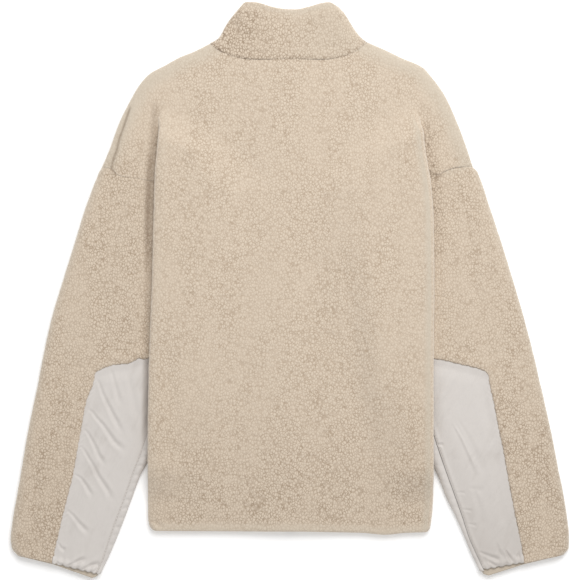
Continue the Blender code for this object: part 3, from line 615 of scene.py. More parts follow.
# painted shade along the seam grooves and the armhole crease
def seamGrooveShade(x, y):
    return sum(dark * bell(nearLine(x, y, line)[0], wide) for line, wide, dark in backSizes["seamGrooveShade"])


def bend(start, heading, length, angle, cells):  # arc or straight run in the x-z plane of a row
    part = np.arange(1, cells + 1) / cells
    if abs(angle) < 1e-6:
        x = start[0] + length * part * math.cos(heading)
        z = start[1] + length * part * math.sin(heading)
    else:
        radius = length / angle
        x = start[0] + radius * (np.sin(heading + angle * part) - math.sin(heading))
        z = start[1] - radius * (np.cos(heading + angle * part) - math.cos(heading))
    return np.stack([x, z], 1), heading + angle


def twoSkins(line, wall):
    way = np.vstack([line[1:], line[-1:]]) - np.vstack([line[:1], line[:-1]])
    way[0, 1] = 0.0
    way /= np.linalg.norm(way, axis=1)[:, None]
    shift = np.stack([-way[:, 1], way[:, 0]], 1) * wall / 2
    return line + shift, line - shift


def topLine(foldX, rise, restX):
    x = np.linspace(0.0, foldX, backSizes["topCells"] + 1)
    loft = centreLoft(x, laid["loftReach"])
    lifted = ease((x - restX + backSizes["drape"]) / backSizes["drape"])
    return np.stack([x, laid["low"] + laid["layer"] + loft + lifted * (rise - loft)], 1)


def withHeights(line, height):
    return np.stack([line[:, 0], height(line[:, 0]), line[:, 1]], 1)


def creaseAt(side, start, height):  # where the folded side crosses a row
    crease = start
    for _ in range(8):
        crease = float(readCurve(laid["sideFold"][side], height(crease)))
    return crease


def backUpperRow(side, share):
    end, height = upperRow(side, share, laid["backNeck"])
    fold = laid["sideFold"][side]
    radius, wall = backSizes["foldRadius"], laid["sherpa"]
    crease = creaseAt(side, fold[-1][1], height)
    start, opensOver = fold[-1][0], backSizes["foldOpensOver"]
    under = start - float(height(crease))
    opened = math.pi * float(ease(under / opensOver))
    arc = max(backSizes["foldMinArc"], radius * opened)
    bendRadius = arc / max(opened, 1e-6)
    foldX = min(crease - radius - wall / 2, backSizes["topShare"] * end[0])
    last = float(readCurve(fold, laid["underarmY"])) - radius - wall / 2 - laid["underarmX"]
    armhole = float(readCurve(laid["armhole"][side], crease))
    reach = (under - opensOver) / (start - armhole - opensOver)
    pleat = max(backSizes["pleatMin"], last * min(1.0, max(0.0, reach)))
    if share >= 1.0:
        pleat = foldX - laid["underarmX"]
    rise = 2 * bendRadius * (1 - math.cos(opened)) + pleat * math.sin(opened) if opened > 1e-3 else 0.0
    rests = max(pleat, last * float(ease(under / backSizes["risesOver"])))
    parts = [topLine(foldX, rise, foldX - rests)]
    heading = 0.0
    for length, angle, cells in ((arc, -opened, backSizes["foldCells"]),
                                 (pleat, 0.0, backSizes["returnCells"]),
                                 (arc, opened, backSizes["foldCells"])):
        points, heading = bend(parts[-1][-1], heading, length, angle, cells)
        parts.append(points)
    outer, inner = twoSkins(np.concatenate(parts), wall)
    flat = end[0] - laid["softEdge"]
    low = laid["low"] + laid["layer"] - wall / 2
    across = mix(outer[-1][0], flat, np.linspace(0, 1, backSizes["capCells"] + 1)[1:])
    outer = np.vstack([outer, np.stack([across, np.full(len(across), low + wall)], 1)])
    inner = np.vstack([inner, np.stack([across, np.full(len(across), low)], 1)])
    turn = np.radians(np.linspace(90, 0, backSizes["edgeCells"] + 1)[1:])
    x = flat + laid["softEdge"] * np.cos(turn)
    outer = np.vstack([outer, np.stack([x, low + wall * np.sin(turn)], 1)])
    inner = np.vstack([inner, np.stack([x, np.full(len(x), low - 0.1)], 1)])
    return withHeights(outer, height), withHeights(inner, height)


def backLowerRow(side, y):
    underarm, radius, low = laid["underarmY"], backSizes["foldRadius"], laid["low"]
    seamShare = float(below(y, underarm, backSizes["armholeFades"]))
    hemShare = float(below(y, underarm, underarm - hemY))

    def height(x):
        seam = readCurve(laid["armhole"][side], np.minimum(x, backSizes["armholeTo"]))
        fromSeam = y - backSizes["slit"] + seam - underarm
        return mix(fromSeam, y, seamShare) + hemShare * (readCurve(laid["hem"], sides[side] * x) - hemY)

    foldX = creaseAt(side, backSizes["creaseStart"], height) - radius - laid["sherpa"] / 2
    resting = below(y, backSizes["restStarts"], backSizes["restStarts"] - backSizes["restEnds"])
    rise = 2 * laid["layer"] * (1 - float(resting))
    end = min(float(readCurve(laid["sleeveBelow"], y)), foldX - backSizes["pleatMin"])
    parts = [topLine(foldX, rise, end)]
    points, heading = bend(parts[-1][-1], 0.0, math.pi * radius, -math.pi, backSizes["foldCells"])
    parts.append(points)
    parts.append(bend(points[-1], heading, foldX - end, 0.0, backSizes["returnCells"])[0])
    step = np.arange(1, backSizes["dropCells"] + 1) / backSizes["dropCells"]
    parts.append(np.stack([end - backSizes["drop"] * step, low + rise * (1 - ease(step))], 1))
    rest = (backSizes["foldCells"] + backSizes["capCells"] + backSizes["edgeCells"]
            - backSizes["dropCells"])
    step = np.arange(1, rest + 1) / rest
    parts.append(np.stack([mix(end - backSizes["drop"], laid["sideSeamX"], step), np.full(rest, low)], 1))
    outer, inner = twoSkins(np.concatenate(parts), laid["sherpa"])
    return withHeights(outer, height), withHeights(inner, height)


def bothSides(rows):  # left half turned round and joined to the right half
    left, right = rows
    turned = left[:, ::-1] * np.array([-1.0, 1.0, 1.0])
    return np.concatenate([turned[:, :-1], right], axis=1)


beside = {  # beside the body's folded side the cloth sinks in, and its pile gets painted shade or painted light
    "sink": {"left": 1.6, "right": 0.7}, "sinkReach": {"left": 13.0, "right": 14.0},
    "hollowShade": {"left": 0.2, "right": 0.75}, "hollowShadeReach": {"left": 16.0, "right": 24.0},
    "lit": {"left": 0.16, "right": 0.1}, "litReach": {"left": 5.0, "right": 11.0},
    "start": 0.5, "litStart": 1.0,
    # y where it starts, and how far down from there it is full
    "sinkDown": (245.0, 100.0), "hollowShadeDown": (245.0, 60.0),
    "litDown": {"left": (60.0, 60.0), "right": (240.0, 60.0)},
    "hollowShadeLow": (0.2, 110.0), "troughTo": (155.0, 35.0),
    "panelShade": 0.5, "panelNear": (6.5, 9.0), "panelWide": 0.62,    # only at the left sleeve
    "trough": ((-1, 0), (2.5, 0.06), (3.8, 0.42), (5.1, 0.8), (6.4, 0.96), (8.9, 0.96), (10.2, 0.78),
               (11.4, 0.5), (12.7, 0.2), (15, 0)),     # how far outside the fold, shade
    "troughDown": ((-95, 0.22), (-40, 0.24), (25, 0.36), (60, 0.75), (95, 0.98), (125, 0.96),
                   (165, 0.88), (205, 0.84)),          # y, share of it
    "troughWide": ((-95, 0.74), (-10, 0.76), (40, 0.86), (95, 0.98), (140, 0.94), (205, 0.9)),
    "opening": ((1, 0.16), (2.9, 0.35), (4.5, 0.45), (6.7, 0.45), (8, 0.38), (9.3, 0.26), (10.5, 0.15),
                (13, 0.05), (15, 0)),
    "openingDown": ((150, 1.25), (180, 1.3), (200, 1.25), (212, 1.1), (222, 1), (245, 0)),
}

def foldAwayFrom(x, y):  # how far outside the body's folded side a point is
    left, right = (readCurve(laid["sideFold"][side], y) for side in sides)
    return np.abs(x) - np.where(x < 0, left, right)


def byFold(x, y, height, reach, start):
    away = foldAwayFrom(x, y)
    left, right = (beside[height][side] * within(away, beside[start], beside[reach][side])
                   for side in sides)
    return np.where(x < 0, left, right)


def besideBody(x, y):
    return byFold(x, y, "sink", "sinkReach", "start") * below(y, *beside["sinkDown"])


def panelShade(x, y):  # painted shadow on the woven cloth
    away = foldAwayFrom(x, y) / beside["panelWide"]
    return np.where(x < 0, beside["panelShade"] * within(away, *beside["panelNear"]), 0.0)


def pileShade(x, y):  # painted shadow: only the left side has a dark trough, which opens out at the shoulder
    away = foldAwayFrom(x, y)
    trough = readCurve(beside["trough"], away / readCurve(beside["troughWide"], y))
    trough = trough * readCurve(beside["troughDown"], y)
    opening = readCurve(beside["opening"], away) * readCurve(beside["openingDown"], y)
    return np.where(x < 0, mix(trough, opening, above(y, *beside["troughTo"])), 0.0)


# painted light on the pile beside the body's folded side
def litBeside(x, y):
    left, right = (below(y, *beside["litDown"][side]) for side in sides)
    return byFold(x, y, "lit", "litReach", "litStart") * np.where(x < 0, left, right)


# painted shade in the pile's hollows beside the body's folded side
def hollowShadeBeside(x, y):
    least, over = beside["hollowShadeLow"]
    upper = np.where(x < 0, 1.0, least + (1 - least) * ease(y / over))
    return byFold(x, y, "hollowShade", "hollowShadeReach", "start") * upper * below(y, *beside["hollowShadeDown"])


def makeBack():
    size = backSizes
    halves = []
    for side in sides:
        rows = [backUpperRow(side, share) for share in np.linspace(0, 1, size["upperRows"] + 1)]
        rows += [backLowerRow(side, y) for y in np.linspace(laid["underarmY"], hemY + laid["sherpa"] / 2,
                                                            size["lowerRows"] + 1)]
        halves.append(np.array(rows))
    outer, inner = (bothSides([half[:, skin] for half in halves]) for skin in (0, 1))
    upper = size["upperRows"]
    half = (outer.shape[1] - 1) // 2
    welded = size["topCells"] + size["foldCells"] + size["returnCells"]
    fromCentre = np.abs(np.arange(outer.shape[1]) - half)
    top = (fromCentre <= size["topCells"])[None, :]
    cap = (fromCentre > welded)[None, :] & (np.arange(len(outer)) <= upper)[:, None]

    x, y = outer[..., 0], outer[..., 1]
    inside = -foldAwayFrom(x, y)
    lift = folds(x, y, size["folds"]) * ease(inside / size["foldsFade"])
    fromNeck = rowLengths(outer)
    seams = np.where(cap, folds(x, y, size["capSeams"]), 0.0)
    toArmhole = np.abs(fromNeck[upper] - fromNeck)
    dips = neckDip(x, fromNeck)
    dips = dips + np.where(cap, size["armholeDip"] * (1 - ease(toArmhole / size["armholeReach"])), 0.0)
    bumps = np.where(cap, seams - besideBody(x, y), 0.0)
    outer[..., 2] += np.where(top | cap, lift + bumps - dips, 0.0)

    far = 1e3
    outline = [nearLine(np.abs(x), y, laid["shoulder"][side])[0] + far * ((x < 0) != (side == "left"))
               for side in sides]
    outlineAway = np.where(cap, np.minimum.reduce(outline), far)
    foldAway = np.where(top, inside, far)
    hemAway = y - readCurve(laid["hem"], x)
    # flatter pile with a painted sheen along the folded sides, outlines and hem, stronger on the right
    flatSheened = np.where(x > 0, size["sideFlatSheen"]["right"], size["sideFlatSheen"]["left"])
    smoothed = np.maximum(flatSheened * within(foldAway, *size["sideNear"]),
                          size["outlineFlatSheen"] * within(outlineAway, *size["outlineNear"]))
    smoothed = np.where(top | cap, smoothed, 0.0)
    smoothed = np.maximum(smoothed, size["hemFlatSheen"] * within(hemAway, *size["hemNear"]))

    # painted shade in the caps' hollows beside the folded side and below the armhole
    darker = np.where(x < 0, laid["sleevePaintedShade"]["left"], laid["sleevePaintedShade"]["right"])
    deep = np.where(cap, np.maximum(hollowShadeBeside(x, y), darker * within(y, *size["sleeveDark"])), 0.0)
    lower = size["lowerDark"] * below(y, *size["lowerDown"]) * above(hemAway, *size["lowerUp"])
    deep = np.where(top, lower, deep)
    deep = np.where(top, np.maximum(deep, size["neckDark"] * within(fromNeck, *size["neckNear"])), deep)
    shade = np.where(cap, np.maximum(pileShade(x, y), seamGrooveShade(x, y)), 0.0)
    # painted shade along the top of the left folded side
    slit = (size["slitShade"] * within(foldAway, *size["slitNear"]) * above(y, *size["slitUp"])
            * below(y, *size["slitDown"]))
    shade = np.where(top & (x < 0), slit, shade)
    shade = np.maximum(shade, np.where(top | cap, neckShade(x, fromNeck), 0.0))
    hidden = ~(top | cap | (fromCentre[None, :] <= size["topCells"] + size["foldCells"]))
    calm = np.clip(np.where(hidden, 1.0, 0.0) + 0.35 * smoothed, 0, 1)

    rim = rolledEdge(outer[-1], inner[-1], outer[-1] - outer[-2], size["hemCells"])
    grid = np.concatenate([outer, rim, inner[::-1][:size["hemReturn"] * 2:2]])
    more = len(grid) - len(outer)
    keep = np.ones((len(grid) - 1, grid.shape[1] - 1), bool)
    beyond = half - welded
    keep[upper, :beyond] = False
    keep[upper, -beyond:] = False
    lit = np.where(cap, litBeside(x, y), 0.0)
    return raisePile(makeSkin("back_cloth", grid, keep, calm=withRows(calm, more, 0.6),
                              smoothed=withRows(smoothed, more), deep=withRows(deep, more, 0.0),
                              shade=withRows(shade, more, 0.0), lit=withRows(lit, more, 0.0)))


backCloth = makeBack()
print("back made", len(backCloth.data.polygons))


# Collar

collarSizes = {
    "rows": 36, "groundCells": 24, "roundCells": 12, "backCells": 44, "rimCells": 6,
    "neckGap": 0.3, "loftOver": 60.0,
    "tuckY": (0.5, 1.8), "tuckZ": (0.3, -0.9),    # of the last row under the back's edge: below, on top
    "flatSheened": 0.5, "flatSheenNear": (0.0, 9.0), "rightFlatSheen": 0.35, "rightFrom": (-20.0, 60.0),
    # darker hollows all over the collar, with more painted shade towards the left
    "dark": (0.24, 0.26), "leftTo": (-70.0, 60.0), "darkFrom": (6.0, 8.0),
    "neckDark": 0.3, "neckNear": (1.0, 6.0), "calm": 0.15, "calmBelow": 0.6,
    "side": {
        "left": ((0, 101.6), (0.16, 90.7), (0.52, 81.3), (0.78, 73.7), (1, 66)),
        "right": ((0, 97.3), (0.15, 88.9), (0.57, 76.2), (0.8, 69.8), (1, 62.2)),
    },
    "top": ((-1, 358.8), (-0.87, 365.8), (-0.71, 365.4), (-0.29, 358.1), (-0.1, 356.2), (0.1, 355.6),
            (0.37, 358.8), (0.7, 364.5), (0.82, 365.4), (1, 361.2)),
    "frontTop": 322.0,
    "hollows": ((-74, 334, 10, -2.2), (-58, 318, 12, -0.9), (48, 342, 16, 0.8)),
    "folds": (
        (((-84, 306), (-60, 303), (-20, 298)), 4, -0.7),
        (((-66, 352), (-72, 336), (-82, 322)), 4.5, -1),
        (((30, 304), (64, 309)), 5, -0.5),
    ),
}


def makeCollar():
    size, wall = collarSizes, laid["sherpa"]
    high = laid["low"] + laid["layer"] - wall / 2
    middle = (wall + high) / 2
    skins = {"outer": [], "inner": []}
    for share in np.append(np.linspace(1, 0, size["rows"] + 1), 0.0):
        row = {}
        for side, sign in sides.items():
            half = float(readCurve(size["side"][side], share))
            foot = laid["shoulder"][side][0][0]
            flat = half - laid["softEdge"]

            def rowY(t, neck, edge):
                seam = neckLine(side, t * foot, laid[neck]) + size["neckGap"]
                return mix(seam, edge - wall / 2, share)

            def backY(x):
                t = np.clip(x / half, 0, 1)
                return rowY(t, "backNeck", readCurve(size["top"], sign * t))

            def frontY(x):
                t = np.clip(x / half, 0, 1)
                return rowY(t, "frontNeck", mix(size["frontTop"], readCurve(size["top"], sign), t ** 2))

            ground = mix(laid["zipGroove"], flat, np.linspace(0, 1, size["groundCells"] + 1)[:-1])
            turn = np.radians(np.linspace(-90, 90, size["roundCells"] + 1))
            inward = mix(flat, 0.0, np.linspace(0, 1, size["backCells"] + 1)[1:])
            for skin, wide, tall, floor, roof in (
                    ("outer", laid["softEdge"], middle, 0.0, high + wall),
                    ("inner", laid["softEdge"] - wall, middle - wall, wall, high)):
                across = flat + wide * np.cos(turn)
                upwards = ease((np.sin(turn) + 1) / 2)
                xs = np.concatenate([ground, across, inward])
                ys = np.concatenate([frontY(ground), mix(frontY(across), backY(across), upwards),
                                     backY(inward)])
                loft = centreLoft(inward, max(size["loftOver"], flat))
                zs = np.concatenate([np.full(len(ground), floor), middle + tall * np.sin(turn), roof + loft])
                line = np.stack([sign * xs, ys, zs], 1)
                row[skin] = line if side == "left" else np.concatenate([row[skin], line[:-1][::-1]])
        for skin in skins:
            skins[skin].append(row[skin])
    outer, inner = np.array(skins["outer"]), np.array(skins["inner"])
    x, y = outer[..., 0], outer[..., 1]
    onBack = onUpper(outer[..., 2])
    forms = folds(x, y, size["folds"])
    for cx, cy, wide, height in size["hollows"]:
        forms = forms + height * np.exp(-((x - cx) ** 2 + (y - cy) ** 2) / wide ** 2)
    walked = rowLengths(outer)
    fromNeck = walked[-1] - walked
    outer[..., 2] += onBack * (forms - neckDip(x, fromNeck))
    outer[-1, :, 1] -= mix(*size["tuckY"], onBack[-1])
    outer[-1, :, 2] += mix(*size["tuckZ"], onBack[-1])

    rim = rolledEdge(outer[0], inner[0], outer[0] - outer[1], size["rimCells"])[::-1]
    grid = np.concatenate([inner[::-1][::2], rim, outer])
    more = len(grid) - len(outer)
    # flatter pile with a painted sheen along the top edge and towards the right
    smoothed = size["flatSheened"] * within(walked, *size["flatSheenNear"])
    smoothed = smoothed + size["rightFlatSheen"] * above(x, *size["rightFrom"])
    # painted shade deepens the hollows towards the left
    least, atLeft = size["dark"]
    deep = (least + atLeft * within(x, *size["leftTo"])) * above(walked, *size["darkFrom"])
    deep = deep + size["neckDark"] * within(fromNeck, *size["neckNear"])
    calm = np.where(outer[..., 2] < size["calmBelow"], 1.0, size["calm"])
    return raisePile(makeSkin("collar_cloth", grid, calm=withRows(calm, more, 0.6, True),
                              smoothed=withRows(np.clip(smoothed, 0, 1), more, 0.5, True),
                              deep=withRows(np.clip(deep, 0, 1), more, 0.0, True),
                              shade=withRows(onBack * neckShade(x, fromNeck), more, 0.0, True)))


collarCloth = makeCollar()
print("collar made", len(collarCloth.data.polygons))


# Fronts, which lie on the surface

frontSizes = {"zipCells": 18, "sideCells": 40, "edgeCells": 6, "upperRows": 44, "lowerRows": 104,
              "hemReturn": 4, "seamShare": 0.55, "edgeDepth": 4.4, "flatSheened": 0.35}


def makeFront(side):
    size, sign, wall = frontSizes, sides[side], laid["sherpa"]

    def rowAt(share):
        end, height = upperRow(side, share, laid["frontNeck"])
        flat = end[0] - laid["softEdge"]
        seamX = min(laid["sideSeamX"] - laid["seam"], size["seamShare"] * flat)
        turn = np.radians(np.linspace(90, 0, size["edgeCells"] + 1)[1:])
        xs = np.concatenate([np.linspace(laid["zipGroove"], seamX, size["zipCells"] + 1),
                             np.linspace(seamX, flat, size["sideCells"] + 1)[1:],
                             flat + laid["softEdge"] * np.cos(turn)])
        lift = np.concatenate([np.zeros(len(xs) - len(turn)), 1 - np.sin(turn)])
        return np.stack([sign * xs, height(xs), lift * wall], 1)

    rows = [rowAt(share) for share in np.linspace(0, 1, size["upperRows"] + 1)]
    last, underarm = rows[-1], laid["underarmY"]
    for y in np.linspace(underarm, hemY + wall / 2, size["lowerRows"] + 1)[1:]:
        hemShare = float(below(y, underarm, underarm - hemY))
        lower = y + hemShare * (readCurve(laid["hem"], last[:, 0]) - hemY)
        rows.append(np.stack([last[:, 0], lower, np.zeros(len(last))], 1))
    outer = np.array(rows)
    inner = outer + np.array([0.0, 0.0, wall])
    rim = rolledEdge(outer[-1], inner[-1], outer[-1] - outer[-2])
    grid = np.concatenate([outer, rim, inner[::-1][:size["hemReturn"]]])
    keep = np.ones((len(grid) - 1, grid.shape[1] - 1), bool)
    keep[size["upperRows"]:, size["zipCells"]:] = False
    # the pile lies flat with a painted sheen
    return raisePile(makeSkin("front_cloth_" + side, grid, keep, flip=sign > 0,
                              edgeDepth=size["edgeDepth"], calm=1.0, smoothed=size["flatSheened"]))


frontCloths = {side: makeFront(side) for side in sides}
print("fronts made")


# Sleeves

sleeveSizes = {
    "step": 2.05, "panelRow": 6, "roundCells": 12, "outerCells": 28, "panelCells": 48, "innerCells": 3,
    "innerRound": 7, "underStrip": 5, "underPanel": 6, "underOuter": 9, "stripReach": 0.5,
    "innerReach": (0.9, 10.0, 5.5),  # the round inner edge: share of the width to the seam, most, least
    "tuck": (1.8, 0.8),              # of the first row under the cap: along the sleeve, and down
    "outStep": {"left": 1.2, "right": 3.4},  # the sleeve stands out a little below the armhole seam
    "outPlaces": (0.12, 1.1), "panelTopFades": 1.3,
    "seamDip": 0.5, "seamReach": 2.5, "cuffDip": 0.45, "cuffReach": 5.0,
    "swell": 0.6, "swellAt": (4.0, 8.0),    # half width, and how far from the panel's seam
    "opens": 0.36, "opensDown": (60.0, 330.0), "cuffDark": 0.3, "cuffNear": (1.0, 4.0),
    "flatSheened": 0.85, "flatSheenNear": (9.0, 20.0), "underFlatSheen": 0.3,
    "capFlatSheen": {"left": 0.0, "right": 0.5}, "capNear": (2.0, 9.0), "capFrom": (14.0, 10.0),
    "edgeShade": {"left": 0.1, "right": 0.7}, "edgeWide": 1.2, "calmBelow": 0.8, "hiddenFrom": -25.0,
    "panelTop": {  # x, y above a straight seam
        "left": ((151, 0), (180, 0.8), (185.8, 1.4), (192, 4.3), (197, 3), (202.6, 1.5),
                 (215, 3.8), (227.8, 5.7), (240, 4.6), (246, 2.6), (251, -1), (258, 0)),
        "right": ((151, 0), (182, 0.9), (197, 2.6), (212, 3.5), (228.6, 4.7), (243, 5),
                  (249, 3.2), (253, -0.5), (260, 0)),
    },
    "sections": {  # outer edge, outer seam of the forearm panel, inner seam, inner edge, each as x, y
        "left": (
            (238.8, 154.9, 208, 143, 120.7, 130.2, 97.8, 127),
            (257.8, 108, 224.8, 104.1, 121.9, 96.5, 99.1, 95.2),
            (273.1, 59.7, 233.7, 59.7, 124.5, 59.7, 101.6, 59.7),
            (288.9, 8.9, 240, 11.4, 130.8, 20.3, 107.3, 21.6),
            (302.9, -38.1, 245.1, -33, 137.8, -15.2, 113.7, -12.7),
            (312.7, -82.5, 248.9, -76.2, 144.1, -47, 120.7, -44.5),
            (319, -115.6, 247.2, -107.8, 151.1, -78.7, 128.9, -76.2),
            (324.7, -142.2, 258.3, -142.2, 161.3, -119.4, 142.2, -120.7),
            (331.5, -175.3, 264.8, -177.8, 174, -163.8, 158.1, -166.4),
            (337.2, -207, 270.5, -209.6, 187.3, -204.5, 175.3, -209.6),
            (342.3, -237.5, 275.6, -237.5, 198.8, -235.6, 189.9, -235.6),
            (347.2, -265.4, 282.6, -265.4, 209.8, -267.3, 201.9, -268),
            (351.5, -289.6, 288.9, -290.8, 219.7, -293.4, 210.8, -292.1),
            (354.3, -313.7, 294, -313.1, 227.6, -316.2, 220.6, -316.2),
            (353.1, -326.4, 298.4, -332.7, 236.2, -342.3, 232, -341.6),
            (345.4, -337, 299.8, -346.8, 244.6, -360, 240.8, -358.8),
        ),
        "right": (
            (231.8, 156.2, 203, 152, 120.7, 131.5, 97.8, 127),
            (252.1, 108, 222.2, 104.1, 121.9, 96.5, 99.1, 95.2),
            (268.4, 59.7, 231.1, 59.7, 124.5, 59.7, 101.6, 59.7),
            (284, 8.9, 240, 11.4, 130.8, 20.3, 107.3, 21.6),
            (297.6, -38.1, 246.4, -33, 137.8, -15.2, 113.7, -12.7),
            (309.1, -82.5, 250.2, -76.2, 144.8, -47, 121.9, -44.5),
            (315.7, -111.1, 251.5, -108.8, 151.1, -78.7, 128.9, -76.2),
            (322.8, -142.2, 257.8, -142.2, 162.6, -121.9, 142.2, -123.2),
            (330.2, -175.3, 264.2, -175.3, 175.9, -163.8, 158.8, -166.4),
            (336.5, -207, 270.8, -207, 189, -204.5, 174.6, -208.3),
            (342.5, -237.5, 276.2, -237.5, 200.3, -236.9, 188.2, -237.5),
            (348, -265.4, 281.3, -265.4, 210.4, -264.8, 198.8, -264.8),
            (351.7, -289.6, 286, -289.6, 219.1, -289.6, 211.1, -288.9),
            (354, -313.7, 291.1, -313.7, 227.1, -314.3, 222.3, -313.7),
            (353.4, -326.4, 294, -329.6, 235.6, -333.4, 229.9, -332.7),
            (347.2, -335.8, 295.2, -347.2, 246.5, -356.4, 241.2, -355.6),
        ),
    },
    "folds": {  # signed x, y
        "left": (
            (((-206, 128), (-222, 70), (-236, 10), (-243, -60)), 10, -1),
            (((-236, 132), (-256, 70), (-272, 0)), 9, 0.7),
            (((-282, -60), (-292, -130), (-303, -200)), 9, -0.8),
            (((-262, -90), (-276, -110), (-290, -118)), 5, -0.7),
            (((-318, -230), (-322, -270), (-326, -310)), 7, -0.8),
        ),
        "right": (
            (((204, 126), (224, 60), (238, -10), (244, -70)), 10, -0.9),
            (((238, 120), (254, 60), (270, 0)), 9, 0.7),
            (((286, -50), (298, -130), (308, -220)), 9, -0.8),
            (((322, -240), (326, -280), (328, -315)), 7, -0.7),
            (((176, 137), (184, 140), (190, 142.5)), 2.2, -1.2),
        ),
    },
}


def sectionRows(side, places):
    table = np.array(sleeveSizes["sections"][side])
    index = np.arange(len(table), dtype=float)
    columns = [readCurve(np.stack([index, table[:, k]], 1), places) for k in range(8)]
    rows = np.stack(columns, 1).reshape(-1, 4, 2)
    full, fades = sleeveSizes["outPlaces"]
    rows[:, 0, 0] += sleeveSizes["outStep"][side] * ease(places / full) * within(places, full, fades)
    return rows


def evenPlaces(side, first, last, step):  # places along the sleeve, about a step apart
    fine = np.linspace(first, last, 400)
    rows = sectionRows(side, fine)
    middle = rows.mean(axis=1)
    walked = np.concatenate([[0.0], np.cumsum(np.linalg.norm(np.diff(middle, axis=0), axis=1))])
    count = int(round(walked[-1] / step))
    return np.interp(np.linspace(0, walked[-1], count + 1), walked, fine)


def atHeight(flat, z):
    return np.concatenate([flat, np.full(flat.shape[:-1] + (1,), z)], axis=-1)


def straight(first, second, count, z, stop=0):
    return [atHeight(mix(first, second, k / count), z) for k in range(1, count + 1 - stop)]


def rounded(edge, way, reach, turns, heights):
    return [atHeight(edge + way * reach * (1 - math.cos(turn)), z) for turn, z in zip(turns, heights)]


def sleeveRing(rows, low, high, outerReach, innerReach, cells):
    outerEdge, outerSeam, innerSeam, innerEdge = (rows[:, k] for k in range(4))
    outward = unit(outerSeam - outerEdge)
    inward = unit(innerSeam - innerEdge)
    outerReach, innerReach = (np.broadcast_to(reach, len(rows))[:, None]
                              for reach in (outerReach, innerReach))
    outerFlat = outerEdge + outward * outerReach
    innerFlat = innerEdge + inward * innerReach
    under = mix(innerSeam, outerSeam, sleeveSizes["stripReach"])
    up = np.radians(np.linspace(-90, 90, cells["roundCells"] + 1))
    down = np.radians(np.linspace(90, -90, cells["innerRound"] + 1)[1:])

    def heights(turns):
        return [(low + high) / 2 + (high - low) / 2 * math.sin(turn) for turn in turns]

    columns = rounded(outerEdge, outward, outerReach, up, heights(up))
    columns += straight(outerFlat, outerSeam, cells["outerCells"], high)
    columns += straight(outerSeam, innerSeam, cells["panelCells"], high)
    columns += straight(innerSeam, innerFlat, cells["innerCells"], high)
    columns += rounded(innerEdge, inward, innerReach, down, heights(down))
    columns += straight(innerFlat, innerSeam, cells["innerCells"], low)
    columns += straight(innerSeam, under, cells["underStrip"], low)
    columns += straight(under, outerSeam, cells["underPanel"], low)
    columns += straight(outerSeam, outerFlat, cells["underOuter"], low, 1)
    return np.stack(columns, axis=1)


def panelTop(side, x, places):  # the forearm panel's upper seam isn't straight
    near = 1 - ease(np.abs(places - sleeveSizes["panelRow"]) / sleeveSizes["panelTopFades"])
    return readCurve(sleeveSizes["panelTop"][side], np.abs(x)) * near[:, None]


def unevenEdge(along):  # curls hang over the woven cloth by more or less
    return 0.34 * np.sin(along * 1.23 + 0.8 * np.sin(along / 3.7)) + 0.24 * np.sin(along * 0.56 + 1.0)


